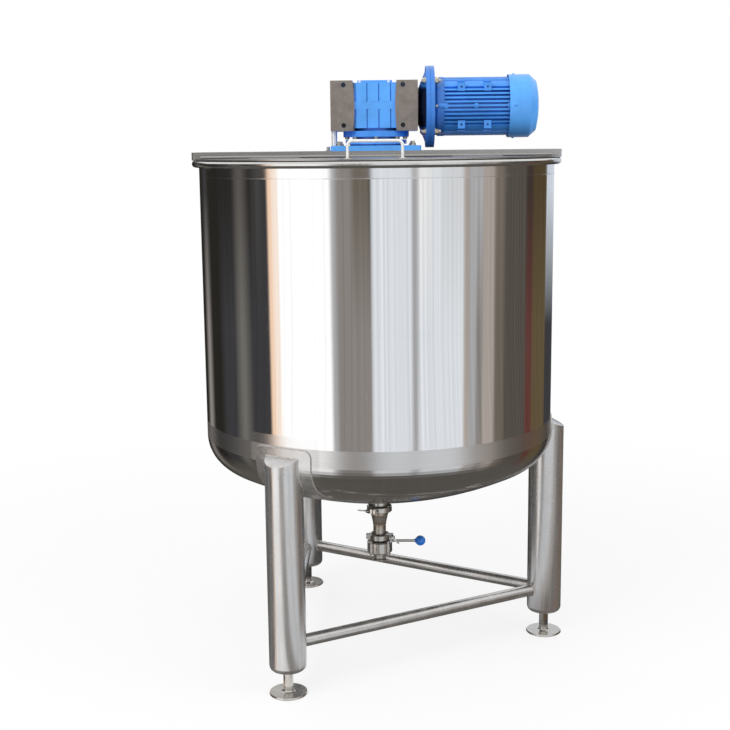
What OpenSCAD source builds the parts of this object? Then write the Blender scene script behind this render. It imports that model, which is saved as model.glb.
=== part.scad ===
// Open-top mixing tank on three legs, with a drive bridge, hinged half lids and a bottom outlet valve.
// Origin on the floor under the tank's axis, +Z up, +X from the axis towards the motor and the right leg.

/* [Vessel] */
// Outside diameter of the shell
shell_od = 1008; // [940:4:1100]
// Wall thickness of the shell and the head
shell_wall = 4; // [3:0.5:6]
// Straight height of the polished shell above the weld
shell_h = 738; // [600:2:900]
// Height of the head's straight skirt under the weld
skirt_h = 49; // [30:1:80]
// Height above the floor of the line where the skirt meets the knuckle
tangent_z = 641; // [600:1:720]
// Radius of the head's crown
crown_r = 1004; // [900:2:1200]
// Radius of the head's knuckle
knuckle_r = 98; // [70:1:130]
// Radius of the rolled rim bead
bead_r = 9.6; // [6:0.2:14]

/* [Bridge and lids] */
// Width of the bridge across the rim
bridge_w = 270; // [260:2:320]
// Height of the bridge above the rim
bridge_h = 22; // [16:1:40]
// Plate thickness of the bridge
bridge_t = 4; // [3:0.5:6]
// Plate thickness of a half lid
lid_t = 2.4; // [1.5:0.1:4]
// Height of a half lid's turned-down edge
lid_edge_h = 4.2; // [4:0.2:12]
// Distance from the bead's outside to the edge of a half lid
lid_inset = 4; // [2:0.5:8]
// Radius of the hinge barrel
barrel_r = 4; // [3:0.25:6]
// Number of hinge knuckles, shared by the bridge and the lid
knuckle_n = 7; // [5:2:11]
// Distance between the legs of a lid handle
grip_span = 136; // [100:2:180]
// Height of a lid handle above the lid
grip_h = 43; // [36:1:60]
// Radius of the lid handle's rod
grip_r = 4; // [3:0.25:6]
// Radius of the bends in a lid handle
grip_bend = 12; // [8:1:18]

/* [Legs] */
// Radius of a leg tube
leg_r = 50.8; // [44:0.2:56]
// How far a leg's axis stands inside the shell's outside face
leg_inset = 7; // [2:0.5:20]
// Height of a leg's top above the tangent line, at the vessel
leg_rise = 19; // [8:1:30]
// Slope of a leg's closed top
leg_slope = 27; // [0:1:40]
// Height of a leg's bottom above the floor
leg_bottom = 69; // [50:1:95]
// Radius of a brace tube
brace_r = 17; // [12:0.5:24]
// Height of the braces above the floor
brace_z = 140; // [125:1:240]
// Width of the doubler plate behind a leg
pad_w = 172; // [140:2:220]
// Thickness of the doubler plate
pad_t = 3.5; // [2:0.5:6]
// Height of the doubler plate's top above the tangent line
pad_rise = 44; // [34:1:48]
// Height of the doubler plate's lower edge above the head's lowest point
pad_low_rise = 78; // [60:1:110]
// Radius of a foot's disc
foot_r = 52.5; // [50:0.5:70]
// Thickness of a foot's disc
foot_t = 6; // [5:0.5:12]
// Radius of a foot's stem
stem_r = 13.5; // [10:0.5:18]

/* [Outlet] */
// Outside radius of the outlet's upper pipe
neck_r = 25.4; // [24:0.2:28]
// Outside radius of the outlet's lower pipe
pipe_r = 19.05; // [18:0.05:21]
// Wall thickness of the outlet pipes
pipe_wall = 1.65; // [1.2:0.05:2.5]
// Height of one clamped joint
joint_h = 18; // [14:1:24]
// Length of the outlet neck between the head and its joint
neck_len = 46; // [36:1:70]
// Length of the reducer between its two joints
reducer_len = 79; // [70:1:110]
// Outside radius of the valve body
valve_r = 37.6; // [34:0.2:44]
// Height of the valve body
valve_h = 38; // [32:1:48]
// Length of the spigot under the valve body
spigot_len = 22; // [16:1:30]
// Radius of the valve's stem
stem_pin_r = 5; // [4:0.25:6]
// Distance from the outlet's axis to the centre of the lever's knob
lever_len = 124; // [100:1:150]
// Radius of the lever's knob
knob_r = 15.5; // [12:0.5:20]

/* [Drive] */
// Side of the square stand plate
plate_w = 250; // [240:2:258]
// Thickness of the stand plate
plate_t = 14; // [8:1:20]
// Height of the stand's neck above its plate
neck_h = 16.5; // [8:0.5:24]
// Gap between the stand's neck and the output flange
bolt_gap = 8; // [6:0.5:20]
// Radius of the output flange
out_flange_r = 93.5; // [88:0.5:104]
// Thickness of the output flange
out_flange_t = 16; // [10:1:22]
// Height of the gear housing
gear_h = 138; // [126:1:150]
// Pitch of the ribs on the gear housing
rib_pitch = 32.8; // [24:0.2:50]
// Depth of the gear housing over its machined pads
gear_d = 164; // [150:2:176]
// Distance from the output axis to the housing's left face
gear_left = 126; // [120:1:136]
// Distance from the output axis to the housing's right face
gear_right = 117; // [112:1:126]
// Width of the left machined pad
pad_left_w = 67; // [58:1:70]
// Width of the right machined pad
pad_right_w = 63; // [58:1:70]
// Height of the input axis above the housing's underside
input_rise = 66.4; // [62:0.2:72]
// Radius of the motor flange
flange_r = 113.5; // [104:0.5:118]
// Thickness of one of the two flanges
flange_t = 12; // [10:0.5:18]
// Length of the conical adaptor
cone_len = 23; // [16:0.5:40]
// Length of the motor's end shield
shield_len = 27.5; // [16:0.5:36]
// Length of the finned motor frame
frame_len = 186; // [160:2:230]
// Distance from the motor's axis to the tips of the fins
frame_r = 81; // [76:0.5:88]
// Number of cooling fins on the front and the rear of the frame
fin_n = 9; // [5:2:9]
// Number of cooling fins on the top and the underside of the frame
top_fin_n = 7; // [3:2:7]
// Thickness of a cooling fin
fin_t = 5; // [2:0.2:6]
// Length of the fan cowl beyond the frame
cowl_len = 79.5; // [70:0.5:110]
// Radius of the fan cowl
cowl_r = 87.5; // [84:0.5:94]
// Radius of the agitator shaft
shaft_r = 15; // [12:0.5:24]
// Height of the agitator's blades above the tangent line
blade_rise = -90; // [-100:1:60]
// Width of an agitator blade
blade_w = 62; // [40:1:80]
// Radius over the tips of the agitator's blades
blade_r = 190; // [140:2:240]

/* [Hidden] */
$fn = 96;
// clearance between curved faces that meet
weld_gap = 0.3;
// radial clearance of a turning pin
pin_gap = 0.15;
// smallest overlap that a cut needs to pass through a face
eps = 1;

shell_r = shell_od / 2;
weld_z = tangent_z + skirt_h;
rim_z = weld_z + shell_h;
bead_out = shell_r + weld_gap + 2 * bead_r;
crown_half = asin((shell_r - knuckle_r) / (crown_r - knuckle_r));
crown_z = tangent_z + (crown_r - knuckle_r) * cos(crown_half);
head_low = crown_z - crown_r;

bridge_top = rim_z + bridge_h;
lid_r = bead_out - lid_inset;
lid_low = rim_z + weld_gap;
lid_top = lid_low + lid_edge_h;
hinge_y = bridge_w / 2 + barrel_r + 2.5;
hinge_z = lid_top + barrel_r - 0.5;
hinge_pin_r = barrel_r / 2;
lid_y = hinge_y + barrel_r + 1.5;
leaf_t = 2;
leaf_reach = 26;
knuckle_gap = 0.5;
knuckle_len = (2 * sqrt(lid_r * lid_r - lid_y * lid_y) - 30) / knuckle_n;
grip_y = lid_r - 26;
clip_w = 12;
clip_t = 3;
clip_h = 12;
hub_out = 2 * shaft_r;
blade_t = 6;
shaft_hole_r = shaft_r + 14;

leg_angles = [0, 120, 240];
leg_circle = shell_r - leg_inset;
leg_top = tangent_z + leg_rise;
leg_cut = pad_t + 2 * weld_gap;
cap_round = 11;
foot_round = 15;
brace_len = 2 * leg_circle * cos(30);
pad_low = head_low + pad_low_rise;
pad_corner = 20;

ferrule_t = 6;
ferrule_rim = 0.4;
neck_ferrule_r = neck_r + 6.6;
pipe_ferrule_r = pipe_r + 6.2;
neck_joint_z = head_low - neck_len;
pipe_joint_z = neck_joint_z - joint_h - reducer_len;
valve_top = pipe_joint_z - joint_h / 2 - 2.4;
valve_z = valve_top - valve_h / 2;
valve_low = valve_top - valve_h;
outlet_low = valve_low - spigot_len;
bore_r = pipe_r - pipe_wall;
seat_r = bore_r - 0.7;
clamp_t = 5.5;
clamp_split = 3;
clamp_pin_r = 2.8;
clamp_turn = 65;
lug_len = 13;
lug_w = 17;
disc_t = 4;
hub_y = valve_r + 3;
hub_len = 14;
lever_y = hub_y + hub_len / 2;
lever_r = 4;
hub_r = 11;

plate_top = bridge_top + plate_t;
neck_top = plate_top + neck_h;
out_flange_low = neck_top + bolt_gap;
gear_low = out_flange_low + out_flange_t;
gear_top = gear_low + gear_h;
input_z = gear_low + input_rise;
adaptor_x = gear_right + cone_len;
motor_x = adaptor_x + flange_t;
shield_x = motor_x + flange_t;
frame_x = shield_x + shield_len;
cowl_x = frame_x + frame_len;
mid_x0 = pad_left_w - gear_left;
mid_x1 = gear_right - pad_right_w;
pad_left_sag = 5;
pad_right_sag = 4;
pad_lap = 5;
mid_d = gear_d - 22;
mid_rise = 8;
mid_neck_r = 62;
cover_recess = 6;
cover_t = 7;
rib_start = 1.9;
rib_out = 6;
rib_slit = 1.4;
rib_band = 5.2;
tier_h = 52;
hole_r = 6.6;
hole_left_in = 36.6;
hole_right_in = 41.6;
hole_low = 15.5;
hole_high = 12.5;
neck_low_h = 4.5;
neck_r_out = out_flange_r - 6.5;
neck_r_low = neck_r_out - 12;
spigot_core_r = out_flange_r - 26;
cone_r = 51.5;
cone_step = 13;
fin_depth = 15;
fin_pitch = frame_r * 0.137;
shoulder_drop = 1;
eye_w = 20;
eye_h = 22;
eye_out = frame_r - 10;
eye_rise = frame_r * 0.635;
eye_at = [47, 120];
ledge_t = 4;
ledge_rise = frame_r * 0.84;
ledge_out = frame_r * 0.6;
ledge_in = 11;
stud_r = 3;
lug_end = 10;
lug_end_h = 14;
boss_at = 87.5;
boss_r = 7;
cowl_lap = 5;
cowl_sheet = 2;
cowl_depth = 14;
box_w = 96;
box_h = 86;
box_d = 34;
seat_h = 74;
post_r = 8;
post_x = -(gear_left - post_r);
post_y = 30;

// Points along an arc in the plane, from one angle to another
function arc(cx, cy, r, from, to, n) =
    [for (i = [0 : n]) let (a = from + (to - from) * i / n) [cx + r * cos(a), cy + r * sin(a)]];

// A list walked backwards
function flip(list) = [for (i = [len(list) - 1 : -1 : 0]) list[i]];

// Outline of a rectangle with round corners, centred on the origin
function round_rect(w, h, r, n = 6) = concat(
    arc(w / 2 - r, h / 2 - r, r, 0, 90, n),
    arc(r - w / 2, h / 2 - r, r, 90, 180, n),
    arc(r - w / 2, r - h / 2, r, 180, 270, n),
    arc(w / 2 - r, r - h / 2, r, 270, 360, n));

// The head's profile from the skirt's top to the axis, grown outwards by a distance
function head_line(grow, top, stop = 0) = concat(
    [[shell_r + grow, top]],
    arc(shell_r - knuckle_r, tangent_z, knuckle_r + grow, 0, crown_half - 90, 14),
    arc(0, crown_z, crown_r + grow, crown_half - 92, stop - 90, 12));

// Everything inside the vessel's outside face grown by a distance
module vessel_block(grow) {
    rotate_extrude() polygon(concat([[0, weld_z]], head_line(grow, weld_z)));
}

module shell_wall() {
    color("gainsboro")
        rotate_extrude() translate([shell_r - shell_wall, weld_z]) square([shell_wall, shell_h]);
}

// Rolled bead round the rim: flat against the shell and round outside
module rim_bead() {
    in_x = shell_r + weld_gap;
    color("silver") rotate_extrude()
        polygon(concat([[in_x, rim_z - 2 * bead_r], [in_x, rim_z]],
            arc(in_x + bead_r, rim_z - bead_r, bead_r, 90, -90, 12)));
}

// Dished bottom: skirt, knuckle and crown of one wall, open at the outlet
module bottom_head() {
    color("darkgray") difference() {
        rotate_extrude() polygon(concat(head_line(0, weld_z), flip(head_line(-shell_wall, weld_z))));
        translate([0, 0, head_low - eps]) cylinder(r = neck_r + weld_gap, h = shell_wall + 3 * eps);
    }
}

// Folded tray across the rim, round at both ends
module bridge_form(inset, h) {
    intersection() {
        translate([-shell_od, inset - bridge_w / 2, 0]) cube([2 * shell_od, bridge_w - 2 * inset, h]);
        cylinder(r = bead_out - inset, h = h);
    }
}

module bridge() {
    color("silver") translate([0, 0, rim_z]) difference() {
        bridge_form(0, bridge_h);
        translate([0, 0, -eps]) bridge_form(bridge_t, bridge_h - bridge_t + eps);
        cylinder(r = shaft_hole_r, h = 2 * bridge_h);
    }
}

// Small earthing clip beside the stand plate
module bridge_clip() {
    color("gray") translate([-plate_w / 2 - clip_w, 0, bridge_top]) {
        translate([-clip_w / 2, -clip_w, 0]) cube([clip_w, 2 * clip_w, clip_t]);
        translate([0, 0, clip_t]) cylinder(r = clip_w * 0.4, h = clip_h - clip_t);
    }
}

// Half lid: a plate with a turned-down edge, straight along the bridge
module half_disc(r, y0, h) {
    intersection() {
        cylinder(r = r, h = h);
        translate([-r, -2 * r, 0]) cube([2 * r, 2 * r - y0, h]);
    }
}

module half_lid() {
    translate([0, 0, lid_low]) difference() {
        half_disc(lid_r, lid_y, lid_edge_h);
        translate([0, 0, -eps]) half_disc(lid_r - lid_t, lid_y + lid_t, lid_edge_h - lid_t + eps);
    }
}

// Bent rod with two legs, each on a small round foot
module grip() {
    side = grip_span / 2;
    bar_z = lid_top + grip_h;
    translate([0, -grip_y, 0]) {
        for (s = [-1, 1]) {
            translate([s * side, 0, lid_top]) cylinder(r = 2 * grip_r, h = 2);
            translate([s * side, 0, lid_top + 2]) cylinder(r = grip_r, h = grip_h - grip_bend - 2);
            translate([s * (side - grip_bend), 0, bar_z - grip_bend]) rotate([90, 0, 0])
                rotate([0, 0, s > 0 ? 0 : 90]) rotate_extrude(angle = 90)
                    translate([grip_bend, 0]) circle(r = grip_r);
        }
        translate([grip_bend - side, 0, bar_z]) rotate([0, 90, 0])
            cylinder(r = grip_r, h = grip_span - 2 * grip_bend);
    }
}

// One knuckle of the hinge barrel
module knuckle(i) {
    x0 = (i - knuckle_n / 2) * knuckle_len + knuckle_gap / 2;
    translate([x0, -hinge_y, hinge_z]) rotate([0, 90, 0])
        cylinder(r = barrel_r, h = knuckle_len - knuckle_gap);
}

// Tab that joins a knuckle to its plate
module knuckle_tab(i, y0, y1, z0, z1) {
    x0 = (i - knuckle_n / 2) * knuckle_len + knuckle_gap / 2;
    translate([x0, y0, z0]) cube([knuckle_len - knuckle_gap, y1 - y0, z1 - z0]);
}

// Hinge half on the bridge: even knuckles, their tabs and the pin
module hinge_fixed() {
    for (i = [0 : 2 : knuckle_n - 1]) {
        knuckle(i);
        knuckle_tab(i, -hinge_y, -bridge_w / 2, hinge_z - leaf_t / 2, hinge_z + leaf_t / 2);
    }
    translate([-knuckle_n / 2 * knuckle_len + eps, -hinge_y, hinge_z]) rotate([0, 90, 0])
        cylinder(r = hinge_pin_r, h = knuckle_n * knuckle_len - 2 * eps);
}

// Hinge half on the lid: odd knuckles and a leaf that lies on the plate
module hinge_leaf() {
    for (i = [1 : 2 : knuckle_n - 2]) difference() {
        union() {
            knuckle(i);
            knuckle_tab(i, -hinge_y - barrel_r - leaf_reach, -hinge_y, lid_top, lid_top + leaf_t);
        }
        translate([(i - knuckle_n / 2) * knuckle_len - eps, -hinge_y, hinge_z]) rotate([0, 90, 0])
            cylinder(r = hinge_pin_r + pin_gap, h = knuckle_len + 2 * eps);
    }
}

module front_lid() { color("silver") half_lid(); }
module front_lid_grip() { color("white") grip(); }
module front_lid_leaf() { color("gray") hinge_leaf(); }
module front_hinge() { color("gray") hinge_fixed(); }
module rear_lid() { color("silver") mirror([0, 1, 0]) half_lid(); }
module rear_lid_grip() { color("white") mirror([0, 1, 0]) grip(); }
module rear_hinge() {
    color("gray") mirror([0, 1, 0]) {
        hinge_fixed();
        hinge_leaf();
    }
}

// Leg tube with a sloped closed top and a rounded bottom, coped to the vessel and its doubler
module leg(angle) {
    reach = shell_r + pad_t - leg_circle;
    wide = 4 * leg_r;
    bevel_z = leg_top - (leg_r - reach - cap_round) * tan(leg_slope);
    color("lightgray") rotate([0, 0, angle]) difference() {
        translate([leg_circle, 0, 0]) rotate_extrude() polygon(concat([[0, leg_bottom]],
            arc(leg_r - foot_round, leg_bottom + foot_round, foot_round, -90, 0, 5),
            [[leg_r, weld_z], [0, weld_z]]));
        vessel_block(leg_cut);
        translate([leg_circle + reach, -wide / 2, leg_top]) rotate([0, leg_slope, 0])
            translate([-wide, 0, 0]) cube([2 * wide, wide, wide]);
        translate([leg_circle + leg_r - cap_round, -wide / 2, bevel_z])
            rotate([0, (90 + leg_slope) / 2, 0]) translate([-leg_r, 0, 0]) cube([wide, wide, wide / 2]);
    }
}

// Doubler plate that follows the skirt and the knuckle behind a leg
module leg_pad(angle) {
    high = tangent_z + pad_rise;
    outer = head_line(weld_gap + pad_t, high);
    inner = head_line(weld_gap, high);
    color("silver") rotate([0, 0, angle]) intersection() {
        rotate_extrude() polygon(concat(outer, flip(inner)));
        translate([leg_circle - 2 * leg_r, 0, (high + pad_low) / 2]) rotate([90, 0, 90])
            linear_extrude(leg_r + shell_r) polygon(round_rect(pad_w, high - pad_low, pad_corner));
    }
}

// Foot: a thin disc with a spool-shaped stem
module foot(angle) {
    flare = stem_r * 0.4;
    edge = foot_t / 3;
    color("gray") rotate([0, 0, angle]) translate([leg_circle, 0, 0]) rotate_extrude()
        polygon(concat([[0, 0], [foot_r - edge, 0], [foot_r, edge], [foot_r - edge, foot_t]],
            arc(stem_r + flare, foot_t + flare, flare, 270, 180, 4),
            arc(stem_r + flare, leg_bottom - flare, flare, 180, 90, 4), [[0, leg_bottom]]));
}

// Brace tube along the chord between two legs, coped to both
module brace(angle) {
    color("lightgray") difference() {
        rotate([0, 0, angle + 60]) translate([leg_circle * cos(60), -brace_len / 2, brace_z])
            rotate([-90, 0, 0]) cylinder(r = brace_r, h = brace_len);
        for (a = [angle, angle + 120]) rotate([0, 0, a]) translate([leg_circle, 0, leg_bottom])
            cylinder(r = leg_r + weld_gap, h = brace_z);
    }
}

module leg_right() { leg(leg_angles[0]); }
module leg_rear() { leg(leg_angles[1]); }
module leg_front() { leg(leg_angles[2]); }
module leg_pad_right() { leg_pad(leg_angles[0]); }
module leg_pad_rear() { leg_pad(leg_angles[1]); }
module leg_pad_front() { leg_pad(leg_angles[2]); }
module foot_right() { foot(leg_angles[0]); }
module foot_rear() { foot(leg_angles[1]); }
module foot_front() { foot(leg_angles[2]); }
module brace_right() { brace(leg_angles[0]); }
module brace_left() { brace(leg_angles[1]); }
module brace_front() { brace(leg_angles[2]); }

// Neck through the head's bottom, with its ferrule
module outlet_neck() {
    face = neck_joint_z - joint_h / 2;
    color("lightgray") rotate_extrude() polygon([
        [neck_r - pipe_wall, face], [neck_ferrule_r, face], [neck_ferrule_r, face + ferrule_t * ferrule_rim],
        [neck_r, face + ferrule_t], [neck_r, head_low + shell_wall],
        [neck_r - pipe_wall, head_low + shell_wall]]);
}

// Reducer from the upper to the lower pipe, with a ferrule at each end
module outlet_reducer() {
    face = neck_joint_z - joint_h / 2;
    low = pipe_joint_z;
    top_pipe = face - joint_h / 2 - 10;
    cone_low = top_pipe - 30;
    color("tan") rotate_extrude() polygon([
        [neck_r - pipe_wall, face], [neck_ferrule_r, face], [neck_ferrule_r, face - ferrule_t * ferrule_rim],
        [neck_r, face - ferrule_t], [neck_r, top_pipe], [pipe_r, cone_low], [pipe_r, low + ferrule_t],
        [pipe_ferrule_r, low + ferrule_t * ferrule_rim], [pipe_ferrule_r, low], [bore_r, low],
        [bore_r, cone_low], [neck_r - pipe_wall, top_pipe]]);
}

// Two half rings round a pair of ferrules, with a hinge lug and an eye-bolt lug
module clamp(z, r, wing, turn) {
    ring_r = r + clamp_t;
    half = joint_h / 2;
    bevel = 2;
    inner = r + weld_gap;
    color("silver") translate([0, 0, z]) rotate([0, 0, turn]) {
        difference() {
            union() {
                rotate_extrude() polygon([
                    [inner, bevel - half], [ring_r - bevel, -half], [ring_r, bevel - half],
                    [ring_r, half - bevel], [ring_r - bevel, half], [inner, half - bevel]]);
                for (s = [-1, 1]) translate([s * (ring_r + lug_len / 2 - 3), 0, 0])
                    cube([lug_len, lug_w, joint_h - 2 * bevel], center = true);
            }
            for (s = [-1, 1]) translate([s * (ring_r + clamp_t), 0, 0])
                cube([2 * lug_len + clamp_t, clamp_split, joint_h + eps], center = true);
            cylinder(r = inner, h = 2 * joint_h, center = true);
        }
        translate([wing * (ring_r + lug_len / 2 - 1), 0, 0]) rotate([90, 0, 0])
            cylinder(r = clamp_pin_r, h = lug_w + 13, center = true);
    }
}

module outlet_clamp() { clamp(neck_joint_z - joint_h / 2, neck_ferrule_r, -1, clamp_turn); }
module valve_clamp() { clamp(pipe_joint_z, pipe_ferrule_r, 1, 0); }

// Valve body: a turned drum with a ferrule on top, a spigot below and a bored stem boss
module valve_body() {
    chamfer = 4;
    boss_r = 10;
    lip = ferrule_t * ferrule_rim;
    color("silver") difference() {
        union() {
            rotate_extrude() polygon([
                [0, outlet_low], [pipe_ferrule_r, outlet_low], [pipe_ferrule_r, outlet_low + lip],
                [pipe_r, outlet_low + ferrule_t], [pipe_r, valve_low], [valve_r - chamfer, valve_low],
                [valve_r, valve_low + chamfer], [valve_r, valve_top - chamfer],
                [valve_r - chamfer, valve_top],
                [pipe_r, valve_top], [pipe_r, pipe_joint_z - ferrule_t],
                [pipe_ferrule_r, pipe_joint_z - lip], [pipe_ferrule_r, pipe_joint_z], [0, pipe_joint_z]]);
            translate([0, (bore_r + valve_r) / 2, valve_z]) rotate([-90, 0, 0])
                cylinder(r = boss_r, h = hub_y - weld_gap - (bore_r + valve_r) / 2);
        }
        translate([0, 0, outlet_low - eps]) cylinder(r = bore_r, h = spigot_len - 2 + eps);
        translate([0, 0, outlet_low]) cylinder(r = seat_r, h = pipe_joint_z - outlet_low + eps);
        translate([0, seat_r / 2, valve_z]) rotate([-90, 0, 0])
            cylinder(r = stem_pin_r + pin_gap, h = valve_r);
    }
}

// Disc with a ball-shaped rim on its stem
module valve_disc() {
    color("silver") translate([0, 0, valve_z]) {
        intersection() {
            sphere(r = seat_r - weld_gap);
            cube([2 * bore_r, 2 * bore_r, disc_t], center = true);
        }
        rotate([-90, 0, 0]) cylinder(r = stem_pin_r, h = hub_y);
    }
}

// Lever: a round hub on the stem's end and a rod that points along +X
module valve_lever() {
    color("silver") translate([0, hub_y, valve_z]) {
        rotate([-90, 0, 0]) cylinder(r = hub_r, h = hub_len);
        translate([0, hub_len / 2, 0]) rotate([0, 90, 0]) cylinder(r = lever_r, h = lever_len - knob_r + 2);
    }
}

// Ball knob on the rod's end, with a short neck
module lever_knob() {
    color("royalblue") translate([lever_len, lever_y, valve_z]) difference() {
        union() {
            sphere(r = knob_r);
            translate([-knob_r - 1.5, 0, 0]) rotate([0, 90, 0]) cylinder(r = lever_r + 2.5, h = knob_r);
        }
        translate([-knob_r - 2 * eps, 0, 0]) rotate([0, 90, 0]) cylinder(r = lever_r, h = 4);
    }
}

// Stand: square plate with a round neck, open for the shaft
module stand() {
    color("royalblue") difference() {
        union() {
            translate([0, 0, bridge_top]) linear_extrude(plate_t) polygon(round_rect(plate_w, plate_w, 6));
            translate([0, 0, plate_top]) cylinder(r = neck_r_low, h = neck_h);
            translate([0, 0, plate_top + neck_low_h]) cylinder(r = neck_r_out, h = neck_h - neck_low_h);
            translate([0, 0, neck_top]) cylinder(r = spigot_core_r, h = bolt_gap);
        }
        translate([0, 0, bridge_top - eps])
            cylinder(r = shaft_hole_r, h = plate_t + neck_h + bolt_gap + 2 * eps);
    }
}

// Spacer post between the stand plate and the housing's left end
module stay_post() {
    color("white") translate([post_x, -post_y, plate_top]) cylinder(r = post_r, h = gear_low - plate_top);
}

module output_flange() {
    color("royalblue") translate([0, 0, out_flange_low]) difference() {
        cylinder(r = out_flange_r, h = out_flange_t);
        translate([0, 0, -eps]) cylinder(r = shaft_r + weld_gap, h = out_flange_t + 2 * eps);
    }
}

// Machined end block seen from the side, its inner edge a long shallow arc
module end_block(w, sag) {
    arc_r = (gear_h * gear_h / 4 + sag * sag) / (2 * sag);
    intersection() {
        square([w, gear_h]);
        translate([w - arc_r, gear_h / 2]) circle(r = arc_r, $fn = 256);
    }
}

// Blind holes in the four corners of the front and rear machined faces
module corner_holes() {
    for (x = [hole_left_in - gear_left, gear_right - hole_right_in])
        for (z = [gear_low + hole_low, gear_top - hole_high])
            for (s = [-1, 1]) translate([x, s * gear_d / 2, z]) rotate([s * 90, 0, 0])
                translate([0, 0, -eps]) cylinder(r = hole_r, h = 2 * hole_r + eps);
}

// A row of upright ribs seen from above: each climbs a long ramp to its crown and ends at a narrow slit
module rib_row(h) {
    rib_n = ceil((mid_x1 - mid_x0) / rib_pitch);
    crown = rib_pitch * 0.4;
    last = rib_pitch - rib_slit / 2;
    linear_extrude(h) intersection() {
        translate([mid_x0 - pad_lap, -eps]) square([mid_x1 - mid_x0 + 2 * pad_lap, rib_out + eps]);
        for (i = [0 : rib_n - 1]) translate([mid_x0 + rib_start + i * rib_pitch, 0])
            polygon([[0, -eps], [0, 0], [rib_slit, rib_out * 0.6], [crown, rib_out],
                [last - rib_slit / 2, rib_out], [last, 0], [last, -eps]]);
    }
}

// Ribbed middle of one side: two rows of ribs with a smooth band between them
module rib_side() {
    low = gear_low + mid_rise;
    high = gear_top - cover_recess - tier_h;
    for (z = [low, high]) translate([0, mid_d / 2, z]) rib_row(tier_h);
    translate([mid_x0 - pad_lap, mid_d / 2 - eps, low + tier_h - eps])
        cube([mid_x1 - mid_x0 + 2 * pad_lap, rib_band + eps, high - low - tier_h + 2 * eps]);
}

// Gear housing: two machined end blocks and a ribbed middle between them, over a round neck
module gear_housing() {
    color("dodgerblue") difference() {
        union() {
            translate([-gear_left, gear_d / 2, gear_low]) rotate([90, 0, 0]) linear_extrude(gear_d)
                end_block(pad_left_w, pad_left_sag);
            translate([gear_right, -gear_d / 2, gear_low]) rotate([90, 0, 180]) linear_extrude(gear_d)
                end_block(pad_right_w, pad_right_sag);
            translate([mid_x0 - pad_lap, -mid_d / 2, gear_low + mid_rise])
                cube([mid_x1 - mid_x0 + 2 * pad_lap, mid_d, gear_h - cover_recess - mid_rise]);
            translate([0, 0, gear_low]) cylinder(r = mid_neck_r, h = mid_rise + eps);
            for (s = [0, 1]) mirror([0, s, 0]) rib_side();
        }
        corner_holes();
    }
}

// Cover plate in the recess on top of the housing
module gear_cover() {
    edge = 8;
    color("royalblue") translate([(mid_x0 + mid_x1) / 2, 0, gear_top - cover_recess])
        linear_extrude(cover_t) polygon(round_rect(mid_x1 - mid_x0 - 2 * edge, mid_d - 3 * edge, edge));
}

// A solid of revolution about the input axis, from points of distance and radius
module about_input(points) {
    translate([0, 0, input_z]) rotate([0, 90, 0]) rotate_extrude()
        polygon([for (p = points) [p[1], p[0]]]);
}

// Conical adaptor between the housing and the flange
module input_adaptor() {
    color("midnightblue") about_input([[gear_right, 0], [gear_right, cone_r],
        [gear_right + cone_len / 8, cone_r], [adaptor_x, flange_r - cone_step], [adaptor_x, 0]]);
}

module adaptor_flange() {
    color("royalblue") about_input([[adaptor_x, 0], [adaptor_x, flange_r - 1], [adaptor_x + 1, flange_r],
        [motor_x - 1, flange_r], [motor_x, flange_r - 1], [motor_x, 0]]);
}

// Motor flange with the end shield behind it
module motor_shield() {
    shield_r = frame_r - 3;
    color("royalblue") about_input([[motor_x, 0], [motor_x, flange_r - 1], [motor_x + 1, flange_r],
        [shield_x - 1, flange_r], [shield_x, flange_r - 1], [shield_x, shield_r - 8],
        [shield_x + 8, shield_r], [frame_x, shield_r], [frame_x, 0]]);
}

// Flat pads with tapped holes on the upper and lower edges of the frame's two sides, and a ledge past each
module eye_pads(holes) {
    for (x = eye_at) for (sy = [-1, 1]) for (sz = [-1, 1]) mirror([0, sy < 0 ? 1 : 0, 0])
        mirror([0, 0, sz < 0 ? 1 : 0]) {
            if (holes) translate([x, eye_out + eps, eye_rise]) rotate([90, 0, 0])
                cylinder(r = stud_r, h = eye_h / 2);
            else {
                translate([x - eye_w / 2, eye_out / 2, eye_rise - eye_h / 2])
                    cube([eye_w, eye_out / 2, eye_h]);
                translate([x - eye_w / 2, ledge_out - ledge_in, ledge_rise - ledge_t / 2])
                    cube([eye_w, ledge_in, ledge_t]);
            }
        }
}

// Cross-section of the finned frame: parallel fins on four sides and a smooth shoulder at each diagonal
module frame_section() {
    core = frame_r - fin_depth;
    shoulder_r = frame_r - shoulder_drop;
    groove = fin_pitch - fin_t;
    from = asin(((fin_n - 1) / 2 * fin_pitch + fin_t / 2 + groove) / shoulder_r);
    to = acos(((top_fin_n - 1) / 2 * fin_pitch + fin_t / 2 + groove) / shoulder_r);
    circle(r = core);
    intersection() {
        circle(r = frame_r);
        for (side = [[0, fin_n], [90, top_fin_n], [180, fin_n], [270, top_fin_n]]) rotate(side[0])
            for (i = [0 : side[1] - 1])
                translate([0, (i - (side[1] - 1) / 2) * fin_pitch - fin_t / 2]) square([frame_r, fin_t]);
    }
    for (sx = [0, 1]) for (sy = [0, 1]) mirror([sx, 0]) mirror([0, sy]) intersection() {
        circle(r = shoulder_r);
        polygon([[0, 0], 2 * frame_r * [cos(from), sin(from)], 2 * frame_r * [cos(to), sin(to)]]);
    }
}

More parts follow.
